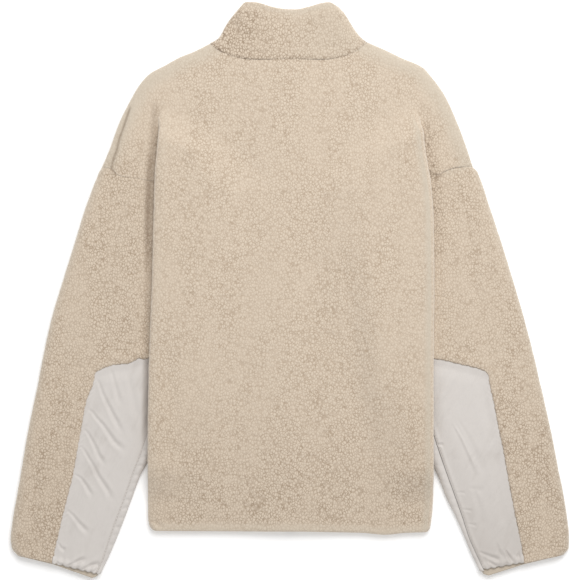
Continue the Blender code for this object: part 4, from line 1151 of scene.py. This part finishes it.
def makeSleeve(side):
    size, sign = sleeveSizes, sides[side]
    first = evenPlaces(side, 0.0, size["panelRow"], size["step"])
    second = evenPlaces(side, size["panelRow"], len(size["sections"][side]) - 1, size["step"])
    places = np.concatenate([first[:1], first, second[1:]])
    rows = sectionRows(side, places)
    share, most, least = size["innerReach"]
    reach = np.maximum(np.minimum(most, share * np.linalg.norm(rows[:, 3] - rows[:, 2], axis=1)), least)
    high = laid["low"] + laid["layer"] + laid["sherpa"] / 2
    grid = sleeveRing(rows, 0.0, high, laid["softEdge"], reach, size)
    seamY = readCurve(laid["armhole"][side], grid[0, :, 0]) - laid["seam"] / 2
    grid[:, :, 1] += np.clip(1 - places, 0, 1)[:, None] * (seamY - grid[0, :, 1])[None, :]
    grid[..., 1] += panelTop(side, grid[..., 0], places)
    grid[..., 0] *= sign
    under = onUpper(grid[0, :, 2])
    grid[0, :, 1] += size["tuck"][0] * under
    grid[0, :, 2] -= size["tuck"][1] * under

    panelStart = len(first)
    seamColumn = size["roundCells"] + size["outerCells"]
    panelEnd = seamColumn + size["panelCells"]
    underEnd = panelEnd + size["innerCells"] * 2 + size["innerRound"] + size["underStrip"]
    grid[panelStart, seamColumn:panelEnd + 1, 1] += unevenEdge(grid[panelStart, seamColumn:panelEnd + 1, 0])
    grid[panelStart:, seamColumn, 0] += unevenEdge(grid[panelStart:, seamColumn, 1])
    columns = np.arange(grid.shape[1])[None, :]
    top = columns <= panelEnd
    x, y, z = grid[..., 0], grid[..., 1], grid[..., 2]
    walked, across = rowLengths(grid), columnLengths(grid)
    toCuff = walked[-1] - walked
    abovePanel = np.maximum(0.0, walked[panelStart] - walked)
    besidePanel = np.maximum(0.0, across[:, seamColumn][:, None] - across)
    fromPanel = np.hypot(abovePanel, np.where(columns < seamColumn, besidePanel, 0.0))
    dips = size["seamDip"] * (1 - ease(fromPanel / size["seamReach"]))
    dips = dips + size["cuffDip"] * (1 - ease(toCuff / size["cuffReach"]))
    forms = folds(x, y, size["folds"][side]) + size["swell"] * bell(fromPanel, *size["swellAt"])
    forms = forms - besideBody(x, y)
    grid[..., 2] += onUpper(z) * np.where(top, forms - dips, 0.0)

    outside = foldAwayFrom(x, y)
    # painted shade in the hollows beside the body's folded side and over the whole sleeve
    deep = np.maximum(hollowShadeBeside(x, y), laid["sleevePaintedShade"][side])
    deep = np.where(top, np.maximum(deep, size["opens"] * below(y, *size["opensDown"])), 0.0)
    deep = np.maximum(deep, size["cuffDark"] * within(toCuff, *size["cuffNear"]))
    # flatter pile with a painted sheen along the outer edge, and beside the armhole seam on the right
    smoothed = np.where(top, size["flatSheened"] * within(across, *size["flatSheenNear"]), size["underFlatSheen"])
    smoothed = np.maximum(smoothed, size["capFlatSheen"][side] * within(walked, *size["capNear"])
                          * above(outside, *size["capFrom"]))
    # painted shadow under the pile's uneven edge where it hangs over the woven panel
    edgeShadow = size["edgeShade"][side] * bell(fromPanel, size["edgeWide"]) * unevenAlong(x + y)
    shade = np.where(top, np.maximum.reduce([pileShade(x, y), seamGrooveShade(x, y), edgeShadow]), 0.0)
    calm = np.where(z < size["calmBelow"], 1.0, 0.0) + np.where(top, 0.0, 0.6)
    calm = calm + np.where(top & (outside < size["hiddenFrom"]), 1.0, 0.0)
    keep = np.ones((len(grid) - 1, grid.shape[1]), bool)
    keep[panelStart:, seamColumn:underEnd] = False
    return raisePile(makeSkin("sleeve_cloth_" + side, grid, keep, closed=True, flip=sign > 0,
                              calm=np.clip(calm, 0, 1), smoothed=np.clip(smoothed, 0, 1),
                              deep=np.clip(deep, 0, 1), shade=shade,
                              lit=np.where(top, litBeside(x, y), 0.0)))


sleeveCloths = {side: makeSleeve(side) for side in sides}
print("sleeves made", len(sleeveCloths["left"].data.polygons))


# Woven forearm panels and underarm strips

wovenSizes = {
    "step": 1.25, "cells": 80, "height": 8.6, "edgeDepth": 1.8,
    "tuck": 2.4, "width": 85.0, "fullTo": 0.998, "rowLength": 27.0,    # under the pile fabric's edge
    "puff": 1.7, "puffOver": (26.0, 12.0), "puffAtCuff": 0.25, "liftOver": 12.0, "besideOver": 6.0,
    "edgeLift": 1.15, "cuffLift": 1.7, "cuffNear": (3.0, 8.0),
    "seamDepth": {"left": 0.12, "right": 0.35}, "seamWide": 3.0, "seamOverlap": {"left": 0.6, "right": -0.3},
    "dashes": {"left": 0.5, "right": 0.0}, "dashAt": (1.1, 0.6), "dashWave": (4.4, 1.3, 13.0),
    "ridge": {"left": 0.0, "right": 0.6}, "ridgeAt": (2.0, 4.0),
    "puckers": {"left": 0.28, "right": 0.1}, "puckersAt": (4.0, 4.0), "puckerWave": (5.6, 2.6, 9.0),
    "creaseShape": (0.3, 0.45), "creaseOver": 5.0, "creaseAtEdge": 0.3,
    "pinch": 0.5, "pinchWide": 11.0, "cuffWave": (8.5, 1.2, 9.0), "cuffWaveTurn": 2.6,
    "cuffPull": 0.7, "cuffPullWide": 4.0, "cuffDark": 0.6, "cuffDarkWide": 1.6,
    "cuffShort": {"left": 0.0, "right": 0.085}, "swell": 0.8, "swellAt": (4.0, 6.0),
    "below": ((-350, 0.24), (-317, 0.2), (-241, 0.07), (-180, 0)),  # y, shade of the right one
    "colour": (0.60, 0.561, 0.527), "shade": (0.53, 0.49, 0.455), "dark": (0.31, 0.265, 0.225),
    "crinkle": (7.0, 26.0, 24), "patch": 40.0, "patchEdges": (0.2, 0.52), "thread": 0.7, "bump": 1.1,
    "creases": {  # line in signed x, y, half width, height
        "left": (
            (((-246.5, -111.1), (-241.7, -117.9), (-237.7, -130.6), (-228.1, -151), (-217.3, -172.3),
              (-211.5, -183)), 2.2, -1.05),
            (((-227.1, -99.4), (-224.2, -110.1), (-221.2, -121.8), (-214.6, -147.3)), 2.4, -0.7),
            (((-257.2, -150), (-250.4, -154.8), (-245.5, -161.7), (-236.7, -171.3), (-231, -180),
              (-222.2, -192.8), (-207.6, -205.4)), 2.3, -1.1),
            (((-262, -175.3), (-256.2, -181.1), (-250.4, -191.8), (-246.5, -199.5), (-242.6, -209.3),
              (-233.7, -223.5)), 2.1, -1.05),
            (((-267, -196.6), (-261.1, -202.4), (-256.2, -211.2), (-250.2, -221), (-242.6, -236.2),
              (-231.1, -254), (-224, -269.2)), 2.2, -1.1),
            (((-274.3, -232.4), (-264.9, -238.8), (-257.8, -248.9), (-250.2, -262.9)), 2, -0.95),
            (((-283.2, -278.1), (-275.1, -285.8), (-267.2, -295.9), (-254.6, -308.6)), 2.2, -1.05),
            (((-294.6, -319.4), (-290.3, -326.4), (-284, -331)), 1.8, -0.9),
            (((-206, -104), (-201, -126), (-196, -150), (-189, -172)), 3.6, -0.5),
            (((-286.5, -352), (-276, -347.3), (-266.1, -342.9), (-257, -339.5)), 1.9, -1.5),
            (((-267, -356), (-257, -351.3), (-247.3, -347.7), (-241, -346.5)), 1.9, -1.6),
            (((-296.5, -344), (-288.4, -350.5)), 1.6, -1),
            (((-252, -359), (-244, -353), (-241, -344)), 1.5, -0.7),
        ),
        "right": (
            (((206, -167.5), (219, -190.5), (230.4, -214.4), (239.5, -234.7)), 1.9, 0.75),
            (((212, -163), (226, -187), (238, -212), (247, -236)), 3, -0.45),
            (((212, -98), (203, -116), (194, -131.6), (185, -142.9)), 4, 0.55),
            (((183, -196), (188, -195.6), (195, -196.4)), 1.4, -0.9),
            (((183, -224), (189, -225)), 1.4, -0.9),
            (((244, -118), (246, -146), (252, -176)), 4, -0.5),
            (((232, -250), (240, -276), (244, -304)), 3.6, -0.6),
            (((262, -240), (266, -268), (270, -300)), 3.4, -0.55),
            (((217, -277.5), (224, -278.6), (231, -280)), 1.3, -0.5),
            (((223.5, -296), (230, -297), (237, -298.5)), 1.3, -0.5),
            (((209.5, -256.5), (216, -256.6), (223, -257.4)), 1.3, -0.4),
            (((226, -251), (236, -252), (246, -255.5)), 2.8, -0.35),
            (((272.5, -329), (277, -337), (282.5, -346)), 1.8, -1.7),
            (((238.8, -331.5), (252, -337), (268, -342.9)), 2, -1.1),
            (((250.2, -343.7), (257, -347), (262.9, -350.5)), 1.7, -1),
            (((290, -332), (289, -340)), 1.6, -0.9),
            (((262, -320), (264, -330), (270, -340)), 2.2, -0.8),
        ),
    },
    "stripEdge": (0.8, 8.0),    # the strip's round inner edge: share of its width, most
    "stripCells": (5, 12, 2, 12), "stripTucks": 0.004,    # under the pile fabric, as a share
    "gatherShare": {"left": 0.85, "right": 0.3}, "gatherLean": (0.012, 2.1, 20.0),
    "gatherFrom": 3.0, "gatherAt": (12.0, 8.0), "gatherUnder": 0.25,
    "gathers": (  # place along the underarm strip as a share, half width, depth
        (0.04, 2.2, 0.9), (0.09, 1.8, 0.6), (0.125, 2.4, 1), (0.17, 2, 0.7), (0.205, 2.2, 1),
        (0.25, 1.8, 0.8), (0.285, 2.6, 1.1), (0.33, 2, 0.8), (0.365, 2.2, 1), (0.40, 1.8, 0.7),
        (0.445, 2.4, 1.1), (0.48, 2, 0.8), (0.52, 2, 1), (0.56, 2.4, 1.1), (0.60, 1.8, 0.7),
        (0.635, 2.2, 1), (0.67, 2, 0.9), (0.71, 2.4, 1.1), (0.75, 1.8, 0.8), (0.79, 2.2, 1),
        (0.83, 2, 0.8), (0.87, 2.4, 1.1), (0.91, 1.8, 0.8), (0.95, 2, 1),
    ),
}


def makeWovenMaterial(name):
    made, net, surface = startMaterial(name, 0.52, 0.18, 0.4)
    place = objectPlace(net)
    crinkle = noise(stretched(place, *wovenSizes["crinkle"]), 1.0, 3.0, 0.55)
    soft = noise(place, 1 / (wovenSizes["patch"] * mm), 2.0)
    threads = place.node("ShaderNodeSeparateXYZ", None, {"Vector": place})
    weave = ribs(threads, wovenSizes["thread"]) * ribs(threads.output(1), wovenSizes["thread"])
    plain = tinted(wovenSizes["shade"], wovenSizes["colour"],
                   eased(soft * 0.5 + crinkle * 0.5, *wovenSizes["patchEdges"]))
    colour = tinted(plain, wovenSizes["dark"], carried(net, "shade"))
    paint(net, surface, colour, crinkle + weave * 0.03, wovenSizes["bump"] * mm, 0.8,
          0.46 + crinkle * 0.14)
    return made


wovenMaterial = makeWovenMaterial("plain_woven")


def panelPlaces(side, short):
    start = sleeveSizes["panelRow"] - wovenSizes["tuck"] / wovenSizes["rowLength"]
    return evenPlaces(side, start, len(sleeveSizes["sections"][side]) - 1 - short, wovenSizes["step"])


def makePanel(side):
    size, sign = wovenSizes, sides[side]
    places = panelPlaces(side, size["cuffShort"][side])
    rows = sectionRows(side, places)
    us = np.linspace(-size["tuck"] / size["width"], size["fullTo"], size["cells"] + 1)
    grid = atHeight(mix(rows[:, None, 1], rows[:, None, 2], us[None, :, None]), size["height"])
    grid[..., 1] += panelTop(side, grid[..., 0], places)
    grid[..., 0] *= sign
    down, across = rowLengths(grid), columnLengths(grid)
    innerAway = across[:, -1:] - across
    sewn = np.minimum(down, across) - size["tuck"]   # distance to the seam with the pile fabric
    edge = np.minimum(sewn, innerAway)
    toCuff = down[-1] - down
    x, y = grid[..., 0], grid[..., 1]
    overEdge, overCuff = size["puffOver"]
    puff = size["puff"] * ease(edge / overEdge) * ease(toCuff / overCuff + size["puffAtCuff"])
    seam = size["seamDepth"][side] * (1 - ease(innerAway / size["seamWide"]))
    cuff = size["cuffLift"] * within(toCuff, *size["cuffNear"])
    # painted shade of needle holes along the inner seam
    dashes = (size["dashes"][side] * bell(innerAway, *size["dashAt"])
              * ease(0.5 + wavering(down, *size["dashWave"])))
    ridge = size["ridge"][side] * bell(innerAway, *size["ridgeAt"])
    puckers = (size["puckers"][side] * wavering(down, *size["puckerWave"])
               * (0.6 + 0.4 * np.sin(down / 13.0)) * bell(across, *size["puckersAt"]))
    forms = (folds(x, y, size["creases"][side], *size["creaseShape"])
             * ease(edge / size["creaseOver"] + size["creaseAtEdge"]))
    raised = size["edgeLift"] * (1 - ease(sewn / size["liftOver"]))
    pinch = size["pinch"] * wavering(across, *size["cuffWave"]) * bell(toCuff, size["pinchWide"])
    besides = besideBody(x, y) * ease(innerAway / size["besideOver"])
    grid[..., 2] += puff - seam + ridge + puckers + forms + pinch + raised + cuff - besides
    gathered = ease(0.35 + 0.8 * wavering(across, *size["cuffWave"], size["cuffWaveTurn"]))
    grid[..., 1] += size["cuffPull"] * gathered * bell(toCuff, size["cuffPullWide"])
    # painted shade in the gathers along the cuff
    gathered = size["cuffDark"] * gathered * bell(toCuff, size["cuffDarkWide"])
    lower = np.where(x > 0, readCurve(size["below"], y), 0.0)
    piece = makeSkin("forearm_panel_cloth_" + side, grid, flip=sign > 0, edgeDepth=size["edgeDepth"],
                     shade=np.maximum.reduce([panelShade(x, y), lower, dashes, gathered]))
    piece.data.materials.append(wovenMaterial)
    return piece


def makeStrip(side):
    size, sign = wovenSizes, sides[side]
    rows = sectionRows(side, panelPlaces(side, 0.0))
    outerSeam, innerSeam, innerEdge = rows[:, 1], rows[:, 2], rows[:, 3]
    share, most = size["stripEdge"]
    reach = np.minimum(most, share * np.linalg.norm(innerEdge - innerSeam, axis=1))[:, None]
    inward = unit(innerSeam - innerEdge)
    flatEdge = innerEdge + inward * reach
    under = mix(innerSeam, outerSeam, sleeveSizes["stripReach"] - size["stripTucks"])
    start = innerSeam + inward * size["seamOverlap"][side]
    middle = size["height"] / 2
    upside, turned, beneath, further = size["stripCells"]
    turns = np.radians(np.linspace(90, -90, turned + 1)[1:])
    columns = [atHeight(start, size["height"])] + straight(start, flatEdge, upside, size["height"])
    columns += rounded(innerEdge, inward, reach, turns, [middle * (1 + math.sin(turn)) for turn in turns])
    columns += straight(flatEdge, innerSeam, beneath, 0.0) + straight(innerSeam, under, further, 0.0)
    grid = np.stack(columns, axis=1)
    grid[..., 0] *= sign
    down, fromSeam = rowLengths(grid), columnLengths(grid)
    share = down / down[-1]
    length = float(down[-1, upside + 3])    # along the round edge
    lift = np.zeros(share.shape)
    leans, turn, over = size["gatherLean"]
    for k, (at, wide, depth) in enumerate(size["gathers"]):
        lean = leans * math.sin(k * turn) * fromSeam / over
        lift -= size["gatherShare"][side] * depth * bell((share - at - lean) * length, wide)
    onTop = ease((grid[..., 2] - middle) / middle)
    lift = lift * ease(fromSeam / size["gatherFrom"]) * bell(fromSeam, *size["gatherAt"])
    lift = lift * mix(size["gatherUnder"], 1.0, onTop)
    seam = size["seamDepth"][side] * (1 - ease(fromSeam / size["seamWide"]))
    cuff = size["cuffLift"] * within(down[-1] - down, *size["cuffNear"]) * onTop
    swell = size["swell"] * bell(fromSeam, *size["swellAt"])
    normals = unit(np.cross(np.gradient(grid, axis=0), np.gradient(grid, axis=1)))
    grid = grid + (normals * (-1.0 if sign > 0 else 1.0)) * (lift + swell - seam + cuff)[..., None]
    grid[..., 2] = np.maximum(grid[..., 2], 0.0)
    piece = makeSkin("underarm_strip_cloth_" + side, grid, flip=sign > 0, edgeDepth=size["edgeDepth"])
    piece.data.materials.append(wovenMaterial)
    return piece


panelCloths = {side: makePanel(side) for side in sides}
stripCloths = {side: makeStrip(side) for side in sides}
print("woven pieces made", len(panelCloths["left"].data.polygons))


# Cuff bindings

bindingSizes = {
    "overlap": 5.5, "low": 1.0, "high": 8.1, "wall": 2.2, "rows": 10, "edge": 9.0, "edgeDepth": 1.2,
    "shares": (-0.12, 0.86), "innerReach": (3.0, 0.9),
    "end": {
        "left": (345.4, -336.6, 300.2, -347.6, 251.5, -365.8, 245.5, -364),
        "right": (347.2, -335.3, 295.9, -347.6, 252.7, -362.6, 246.4, -361.5),
    },
    "cells": {"roundCells": 12, "outerCells": 34, "panelCells": 50, "innerCells": 3, "innerRound": 8,
              "underStrip": 14, "underPanel": 14, "underOuter": 22},
    "colour": (0.60, 0.52, 0.42), "shade": (0.46, 0.385, 0.30), "rib": 1.3, "fuzz": 1.5, "bump": 0.4,
}


def makeBindingMaterial(name):
    made, net, surface = startMaterial(name, 0.82, 0.25, 0.5)
    place = carried(net, "rest", "Vector")
    wave = ribs(place.node("ShaderNodeSeparateXYZ", None, {"Vector": place}), bindingSizes["rib"]) * 0.5 + 0.5
    fuzz = noise(objectPlace(net), 1 / (bindingSizes["fuzz"] * mm), 3.0)
    colour = tinted(bindingSizes["shade"], bindingSizes["colour"], wave * 0.5 + fuzz * 0.6)
    paint(net, surface, colour, wave * 0.6 + fuzz * 0.4, bindingSizes["bump"] * mm, 0.7)
    return made


bindingMaterial = makeBindingMaterial("knit_binding")


def makeBinding(side):
    size, sign = bindingSizes, sides[side]
    count = len(sleeveSizes["sections"][side])
    last, before = (sectionRows(side, np.array([count - back]))[0] for back in (1.0, 2.0))
    start = last + unit(before - last) * size["overlap"]
    end = np.array(size["end"][side]).reshape(4, 2)
    rows = np.array([mix(start, end, share) for share in np.linspace(*size["shares"], size["rows"] + 1)])
    least, share = size["innerReach"]
    reach = np.maximum(least, share * np.linalg.norm(rows[:, 3] - rows[:, 2], axis=1))
    outer, inner = (sleeveRing(rows, size["low"] + wall, size["high"] - wall, size["edge"], reach,
                               size["cells"]) for wall in (0.0, size["wall"]))
    rim = rolledEdge(outer[-1], inner[-1], outer[-1] - outer[-2])
    grid = np.concatenate([outer, rim, inner[::-1]])
    grid[..., 0] *= sign
    piece = makeSkin("cuff_binding_cloth_" + side, grid, closed=True, flip=sign > 0,
                     edgeDepth=size["edgeDepth"])
    held = piece.data.attributes.new("rest", "FLOAT_VECTOR", "POINT")    # how far round the cuff, as X
    values = np.zeros((len(piece.data.vertices), 3), np.float32)
    around = np.tile(columnLengths(outer)[0], len(grid))[:len(values)]
    values[:len(around), 0] = around * mm
    held.data.foreach_set("vector", values.ravel())
    piece.data.materials.append(bindingMaterial)
    return piece


bindingCloths = {side: makeBinding(side) for side in sides}
print("bindings made")


# Stitches

stitchSizes = {"length": 2.4, "pitch": 3.3, "thick": 0.55, "inset": 2.2, "lift": 0.1, "twist": 0.4,
               "colour": (0.63, 0.58, 0.53)}


def makeStitchTree():
    net, size = startTree("sewAlong", {"Stitch Length": "Float", "Stitch Pitch": "Float",
                                       "Thread Width": "Float", "Thread": "Material"})
    line = net.node("GeometryNodeMeshToCurve", None, {"Mesh": size("Geometry")})
    spaced = net.node("GeometryNodeCurveToPoints", {"mode": "LENGTH"},
                      {"Curve": line, "Length": size("Stitch Pitch")})
    turned = net.node("FunctionNodeAlignRotationToVector", {"axis": "Z"},
                      {"Vector": spaced.output("Tangent")})
    thread = net.node("GeometryNodeMeshCylinder", None,
                      {"Vertices": 6, "Side Segments": 2, "Radius": size("Thread Width") * 0.5,
                       "Depth": size("Stitch Length")})
    sewn = net.node("GeometryNodeInstanceOnPoints", None,
                    {"Points": spaced, "Instance": thread, "Rotation": turned})
    real = net.node("GeometryNodeRealizeInstances", None, {"Geometry": sewn})
    smooth = net.node("GeometryNodeSetShadeSmooth", None, {"Geometry": real})
    done = net.node("GeometryNodeSetMaterial", None, {"Geometry": smooth, "Material": size("Thread")})
    net.node("NodeGroupOutput", None, {"Geometry": done})
    return net.tree


def makeThreadMaterial(name):
    made, net, surface = startMaterial(name, 0.6, 0.1)
    twist = noise(objectPlace(net), 1 / (stitchSizes["twist"] * mm), 2.0)
    colour = tinted(darkened(stitchSizes["colour"], 0.85), stitchSizes["colour"], twist)
    paint(net, surface, colour, twist, 0.1 * mm)
    return made


stitchTree = makeStitchTree()
threadMaterial = makeThreadMaterial("sewing_thread")


def sewLine(name, points):
    mesh = bpy.data.meshes.new(name)
    steps = [(k, k + 1) for k in range(len(points) - 1)]
    mesh.from_pydata([tuple(point * mm) for point in points], steps, [])
    return applyNodes(addPiece(name, mesh), stitchTree,
                      {"Stitch Length": stitchSizes["length"] * mm, "Stitch Pitch": stitchSizes["pitch"] * mm,
                       "Thread Width": stitchSizes["thick"] * mm, "Thread": threadMaterial})


def panelSeamLine(side):
    count = wovenSizes["cells"] + 1
    rows = len(panelPlaces(side, wovenSizes["cuffShort"][side]))
    grid = pointsOf(panelCloths[side])[:rows * count].reshape(rows, count, 3) / mm
    across = columnLengths(grid)
    line = []
    for k in range(2, rows - 1, 2):
        room = across[k, -1] - stitchSizes["inset"]
        line.append([np.interp(room, across[k], grid[k, :, axis]) for axis in range(3)])
    return np.array(line) + np.array([0, 0, stitchSizes["lift"]])


stitchLines = {side: sewLine("panel_stitches_" + side, panelSeamLine(side)) for side in sides}
print("stitches made", len(stitchLines["left"].data.polygons))


# Zip

zipSizes = {
    "pitch": 2.6, "bottom": -301.5, "top": 299.0, "height": 6.2,
    "tooth": {"long": 3.2, "wide": 1.35, "tall": 1.9, "reach": 0.75},
    "teethColour": (0.60, 0.51, 0.41), "tapeColour": (0.62, 0.52, 0.41), "metalColour": (0.56, 0.50, 0.43),
    "ribs": (1.1, 0.8),    # of the tape: along it, across it
}


def makeTooth():
    size = zipSizes["tooth"]
    far = size["long"] / 2
    half = [(-far, 0.55), (0.2, 0.5), (0.5, 0.35), (far - 0.2, size["wide"] / 2)]
    outline = [(x, -y) for x, y in half] + [(far, 0.0)] + half[::-1]
    layers = ((0.8, -size["tall"] / 2), (1.0, -size["tall"] / 4), (1.0, size["tall"] / 4),
              (0.8, size["tall"] / 2))
    count = len(outline)
    points = [(x * share, y * share, z) for share, z in layers for x, y in outline]
    faces = []
    for layer in range(len(layers) - 1):
        for k in range(count):
            a, b = layer * count + k, layer * count + (k + 1) % count
            faces.append((a, b, b + count, a + count))
    faces.append(tuple(reversed(range(count))))
    faces.append(tuple(range(3 * count, 4 * count)))
    mesh = bpy.data.meshes.new("tooth")
    mesh.from_pydata([(x * mm, y * mm, z * mm) for x, y, z in points], [], faces)
    mesh.update()
    return addPiece("tooth", mesh)


def makeTeethTree():
    net, size = startTree("setTeeth", {"Tooth": "Object", "Pitch": "Float", "Bottom": "Float",
                                       "Height": "Float", "Reach": "Float", "Count": "Int",
                                       "Metal": "Material"})
    tooth = net.node("GeometryNodeObjectInfo", None, {"Object": size("Tooth")}, out="Geometry")
    joined = net.node("GeometryNodeJoinGeometry")
    for sign, turn in ((-1.0, 0.0), (1.0, math.pi)):
        bottom = size("Bottom") + size("Pitch") * (0.5 if sign > 0 else 0.0)
        start = net.node("ShaderNodeCombineXYZ", None,
                         {"X": size("Reach") * sign, "Y": bottom, "Z": size("Height")})
        step = net.node("ShaderNodeCombineXYZ", None, {"Y": size("Pitch")})
        line = net.node("GeometryNodeMeshLine", None,
                        {"Count": size("Count"), "Start Location": start, "Offset": step})
        row = net.node("GeometryNodeInstanceOnPoints", None,
                       {"Points": line, "Instance": tooth, "Rotation": (0.0, 0.0, turn)})
        net.tree.links.new(row.socket, joined.made.inputs[0])
    real = net.node("GeometryNodeRealizeInstances", None, {"Geometry": joined})
    done = net.node("GeometryNodeSetMaterial", None, {"Geometry": real, "Material": size("Metal")})
    net.node("NodeGroupOutput", None, {"Geometry": done})
    return net.tree


def makeHardMaterial(name, colour, roughness, metallic, grain):
    made, net, surface = startMaterial(name, roughness, metallic=metallic)
    spots = noise(objectPlace(net), 1 / (grain * mm), 3.0)
    worn = tinted(darkened(colour, 0.86), colour, eased(spots, 0.35, 0.62))
    paint(net, surface, worn, spots, 0.05 * mm, 0.4, spots * 0.16 + (roughness - 0.08))
    return made


def makeTapeMaterial(name):
    made, net, surface = startMaterial(name, 0.8, 0.2)
    place = objectPlace(net)
    parts = place.node("ShaderNodeSeparateXYZ", None, {"Vector": place})
    along, across = (ribs(held, pitch) * 0.5 + 0.5
                     for held, pitch in zip((parts.output(1), parts), zipSizes["ribs"]))
    colour = zipSizes["tapeColour"]
    colour = tinted(darkened(colour, 0.82), colour, along * 0.6 + across * 0.4)
    paint(net, surface, colour, along * across, 0.25 * mm, 0.8)
    return made


teethMaterial = makeHardMaterial("moulded_teeth", zipSizes["teethColour"], 0.42, 0.0, 2.0)
metalMaterial = makeHardMaterial("painted_slider", zipSizes["metalColour"], 0.34, 0.6, 3.0)
tapeMaterial = makeTapeMaterial("woven_tape")
for node, material in (("zip_tape_left", tapeMaterial), ("zip_tape_right", tapeMaterial),
                       ("zip_slider", metalMaterial), ("zip_pull", metalMaterial)):
    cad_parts[node].data.materials.clear()
    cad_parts[node].data.materials.append(material)

tooth = makeTooth()
zipTeeth = applyNodes(addPiece("zip_teeth", bpy.data.meshes.new("zip_teeth")), makeTeethTree(), {
    "Tooth": tooth, "Pitch": zipSizes["pitch"] * mm, "Bottom": zipSizes["bottom"] * mm,
    "Height": zipSizes["height"] * mm, "Reach": zipSizes["tooth"]["reach"] * mm, "Metal": teethMaterial,
    "Count": int((zipSizes["top"] - zipSizes["bottom"]) / zipSizes["pitch"]) - 1})
bpy.data.objects.remove(tooth, do_unlink=True)
print("zip made", len(zipTeeth.data.polygons))


# Which part each piece stands for and how it was cut

cutSizes = {  # width, length and area of the cut that shows, in metres
    "back": (0.84, 0.64, 0.40), "collar": (0.47, 0.12, 0.038), "front": (0.24, 0.62, 0.075),
    "sleeve": (0.30, 0.51, 0.115), "panel": (0.11, 0.29, 0.025), "strip": (0.075, 0.28, 0.018),
    "binding": (0.24, 0.02, 0.0042),
}


def placeCloth(piece, node, cut):
    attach(piece, "jacket")
    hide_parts(node)
    wide, long, area = cutSizes[cut]
    print(piece.name, "area", round(flatArea(piece), 4), "cut", area)


placeCloth(backCloth, "back", "back")
placeCloth(collarCloth, "collar", "collar")
for side in sides:
    placeCloth(frontCloths[side], "front_" + side, "front")
    placeCloth(sleeveCloths[side], "sleeve_" + side, "sleeve")
    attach(stitchLines[side], "jacket")
    placeCloth(panelCloths[side], "forearm_panel_" + side, "panel")
    placeCloth(stripCloths[side], "underarm_strip_" + side, "strip")
    placeCloth(bindingCloths[side], "cuff_binding_" + side, "binding")
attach(zipTeeth, "jacket")
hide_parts("zip_chain")


# Floor, light and camera

stageSizes = {"floor": 4.0, "floorDrop": 0.0006, "floorGrey": 0.95, "floorGlow": 0.14, "world": 0.64,
              "camera": 4.0, "frame": 0.7366, "sensor": 36.0, "clip": 20.0,
              "keyEnergy": 45.0, "keySize": 1.7, "keyPlace": (0.5, 1.35, 2.0)}
white = (1.0, 1.0, 1.0, 1.0)

floorMesh = bpy.data.meshes.new("floor")
half, drop = stageSizes["floor"], stageSizes["floorDrop"]
corners = ((-half, -half), (half, -half), (half, half), (-half, half))
floorMesh.from_pydata([(x, y, -drop) for x, y in corners], [], [(0, 1, 2, 3)])
floor = addPiece("floor", floorMesh)
floorMaterial, _, floorSurface = startMaterial("pale_floor", 0.9)
floorSurface.inputs["Base Color"].default_value = (*[stageSizes["floorGrey"]] * 3, 1.0)
floorSurface.inputs["Emission Color"].default_value = white
floorSurface.inputs["Emission Strength"].default_value = stageSizes["floorGlow"]
floorMesh.materials.append(floorMaterial)

world = bpy.data.worlds.new("studio")
bpy.context.scene.world = world
world.use_nodes = True
sky = world.node_tree.nodes["Background"].inputs
sky["Color"].default_value = white
sky["Strength"].default_value = stageSizes["world"]

keyData = bpy.data.lights.new("key", "AREA")
keyData.shape = "SQUARE"
keyData.size = stageSizes["keySize"]
keyData.energy = stageSizes["keyEnergy"]
key = addPiece("key", keyData)
key.location = stageSizes["keyPlace"]
key.rotation_euler = (-Vector(stageSizes["keyPlace"])).to_track_quat("-Z", "Y").to_euler()

cameraData = bpy.data.cameras.new("camera")
cameraData.sensor_width = stageSizes["sensor"]
cameraData.lens = stageSizes["sensor"] * stageSizes["camera"] / stageSizes["frame"]
cameraData.clip_end = stageSizes["clip"]
camera = addPiece("camera", cameraData)
camera.location = (0.0, 0.0, stageSizes["camera"])
bpy.context.scene.camera = camera
bpy.context.scene.view_settings.view_transform = "Standard"

print("scene ready")
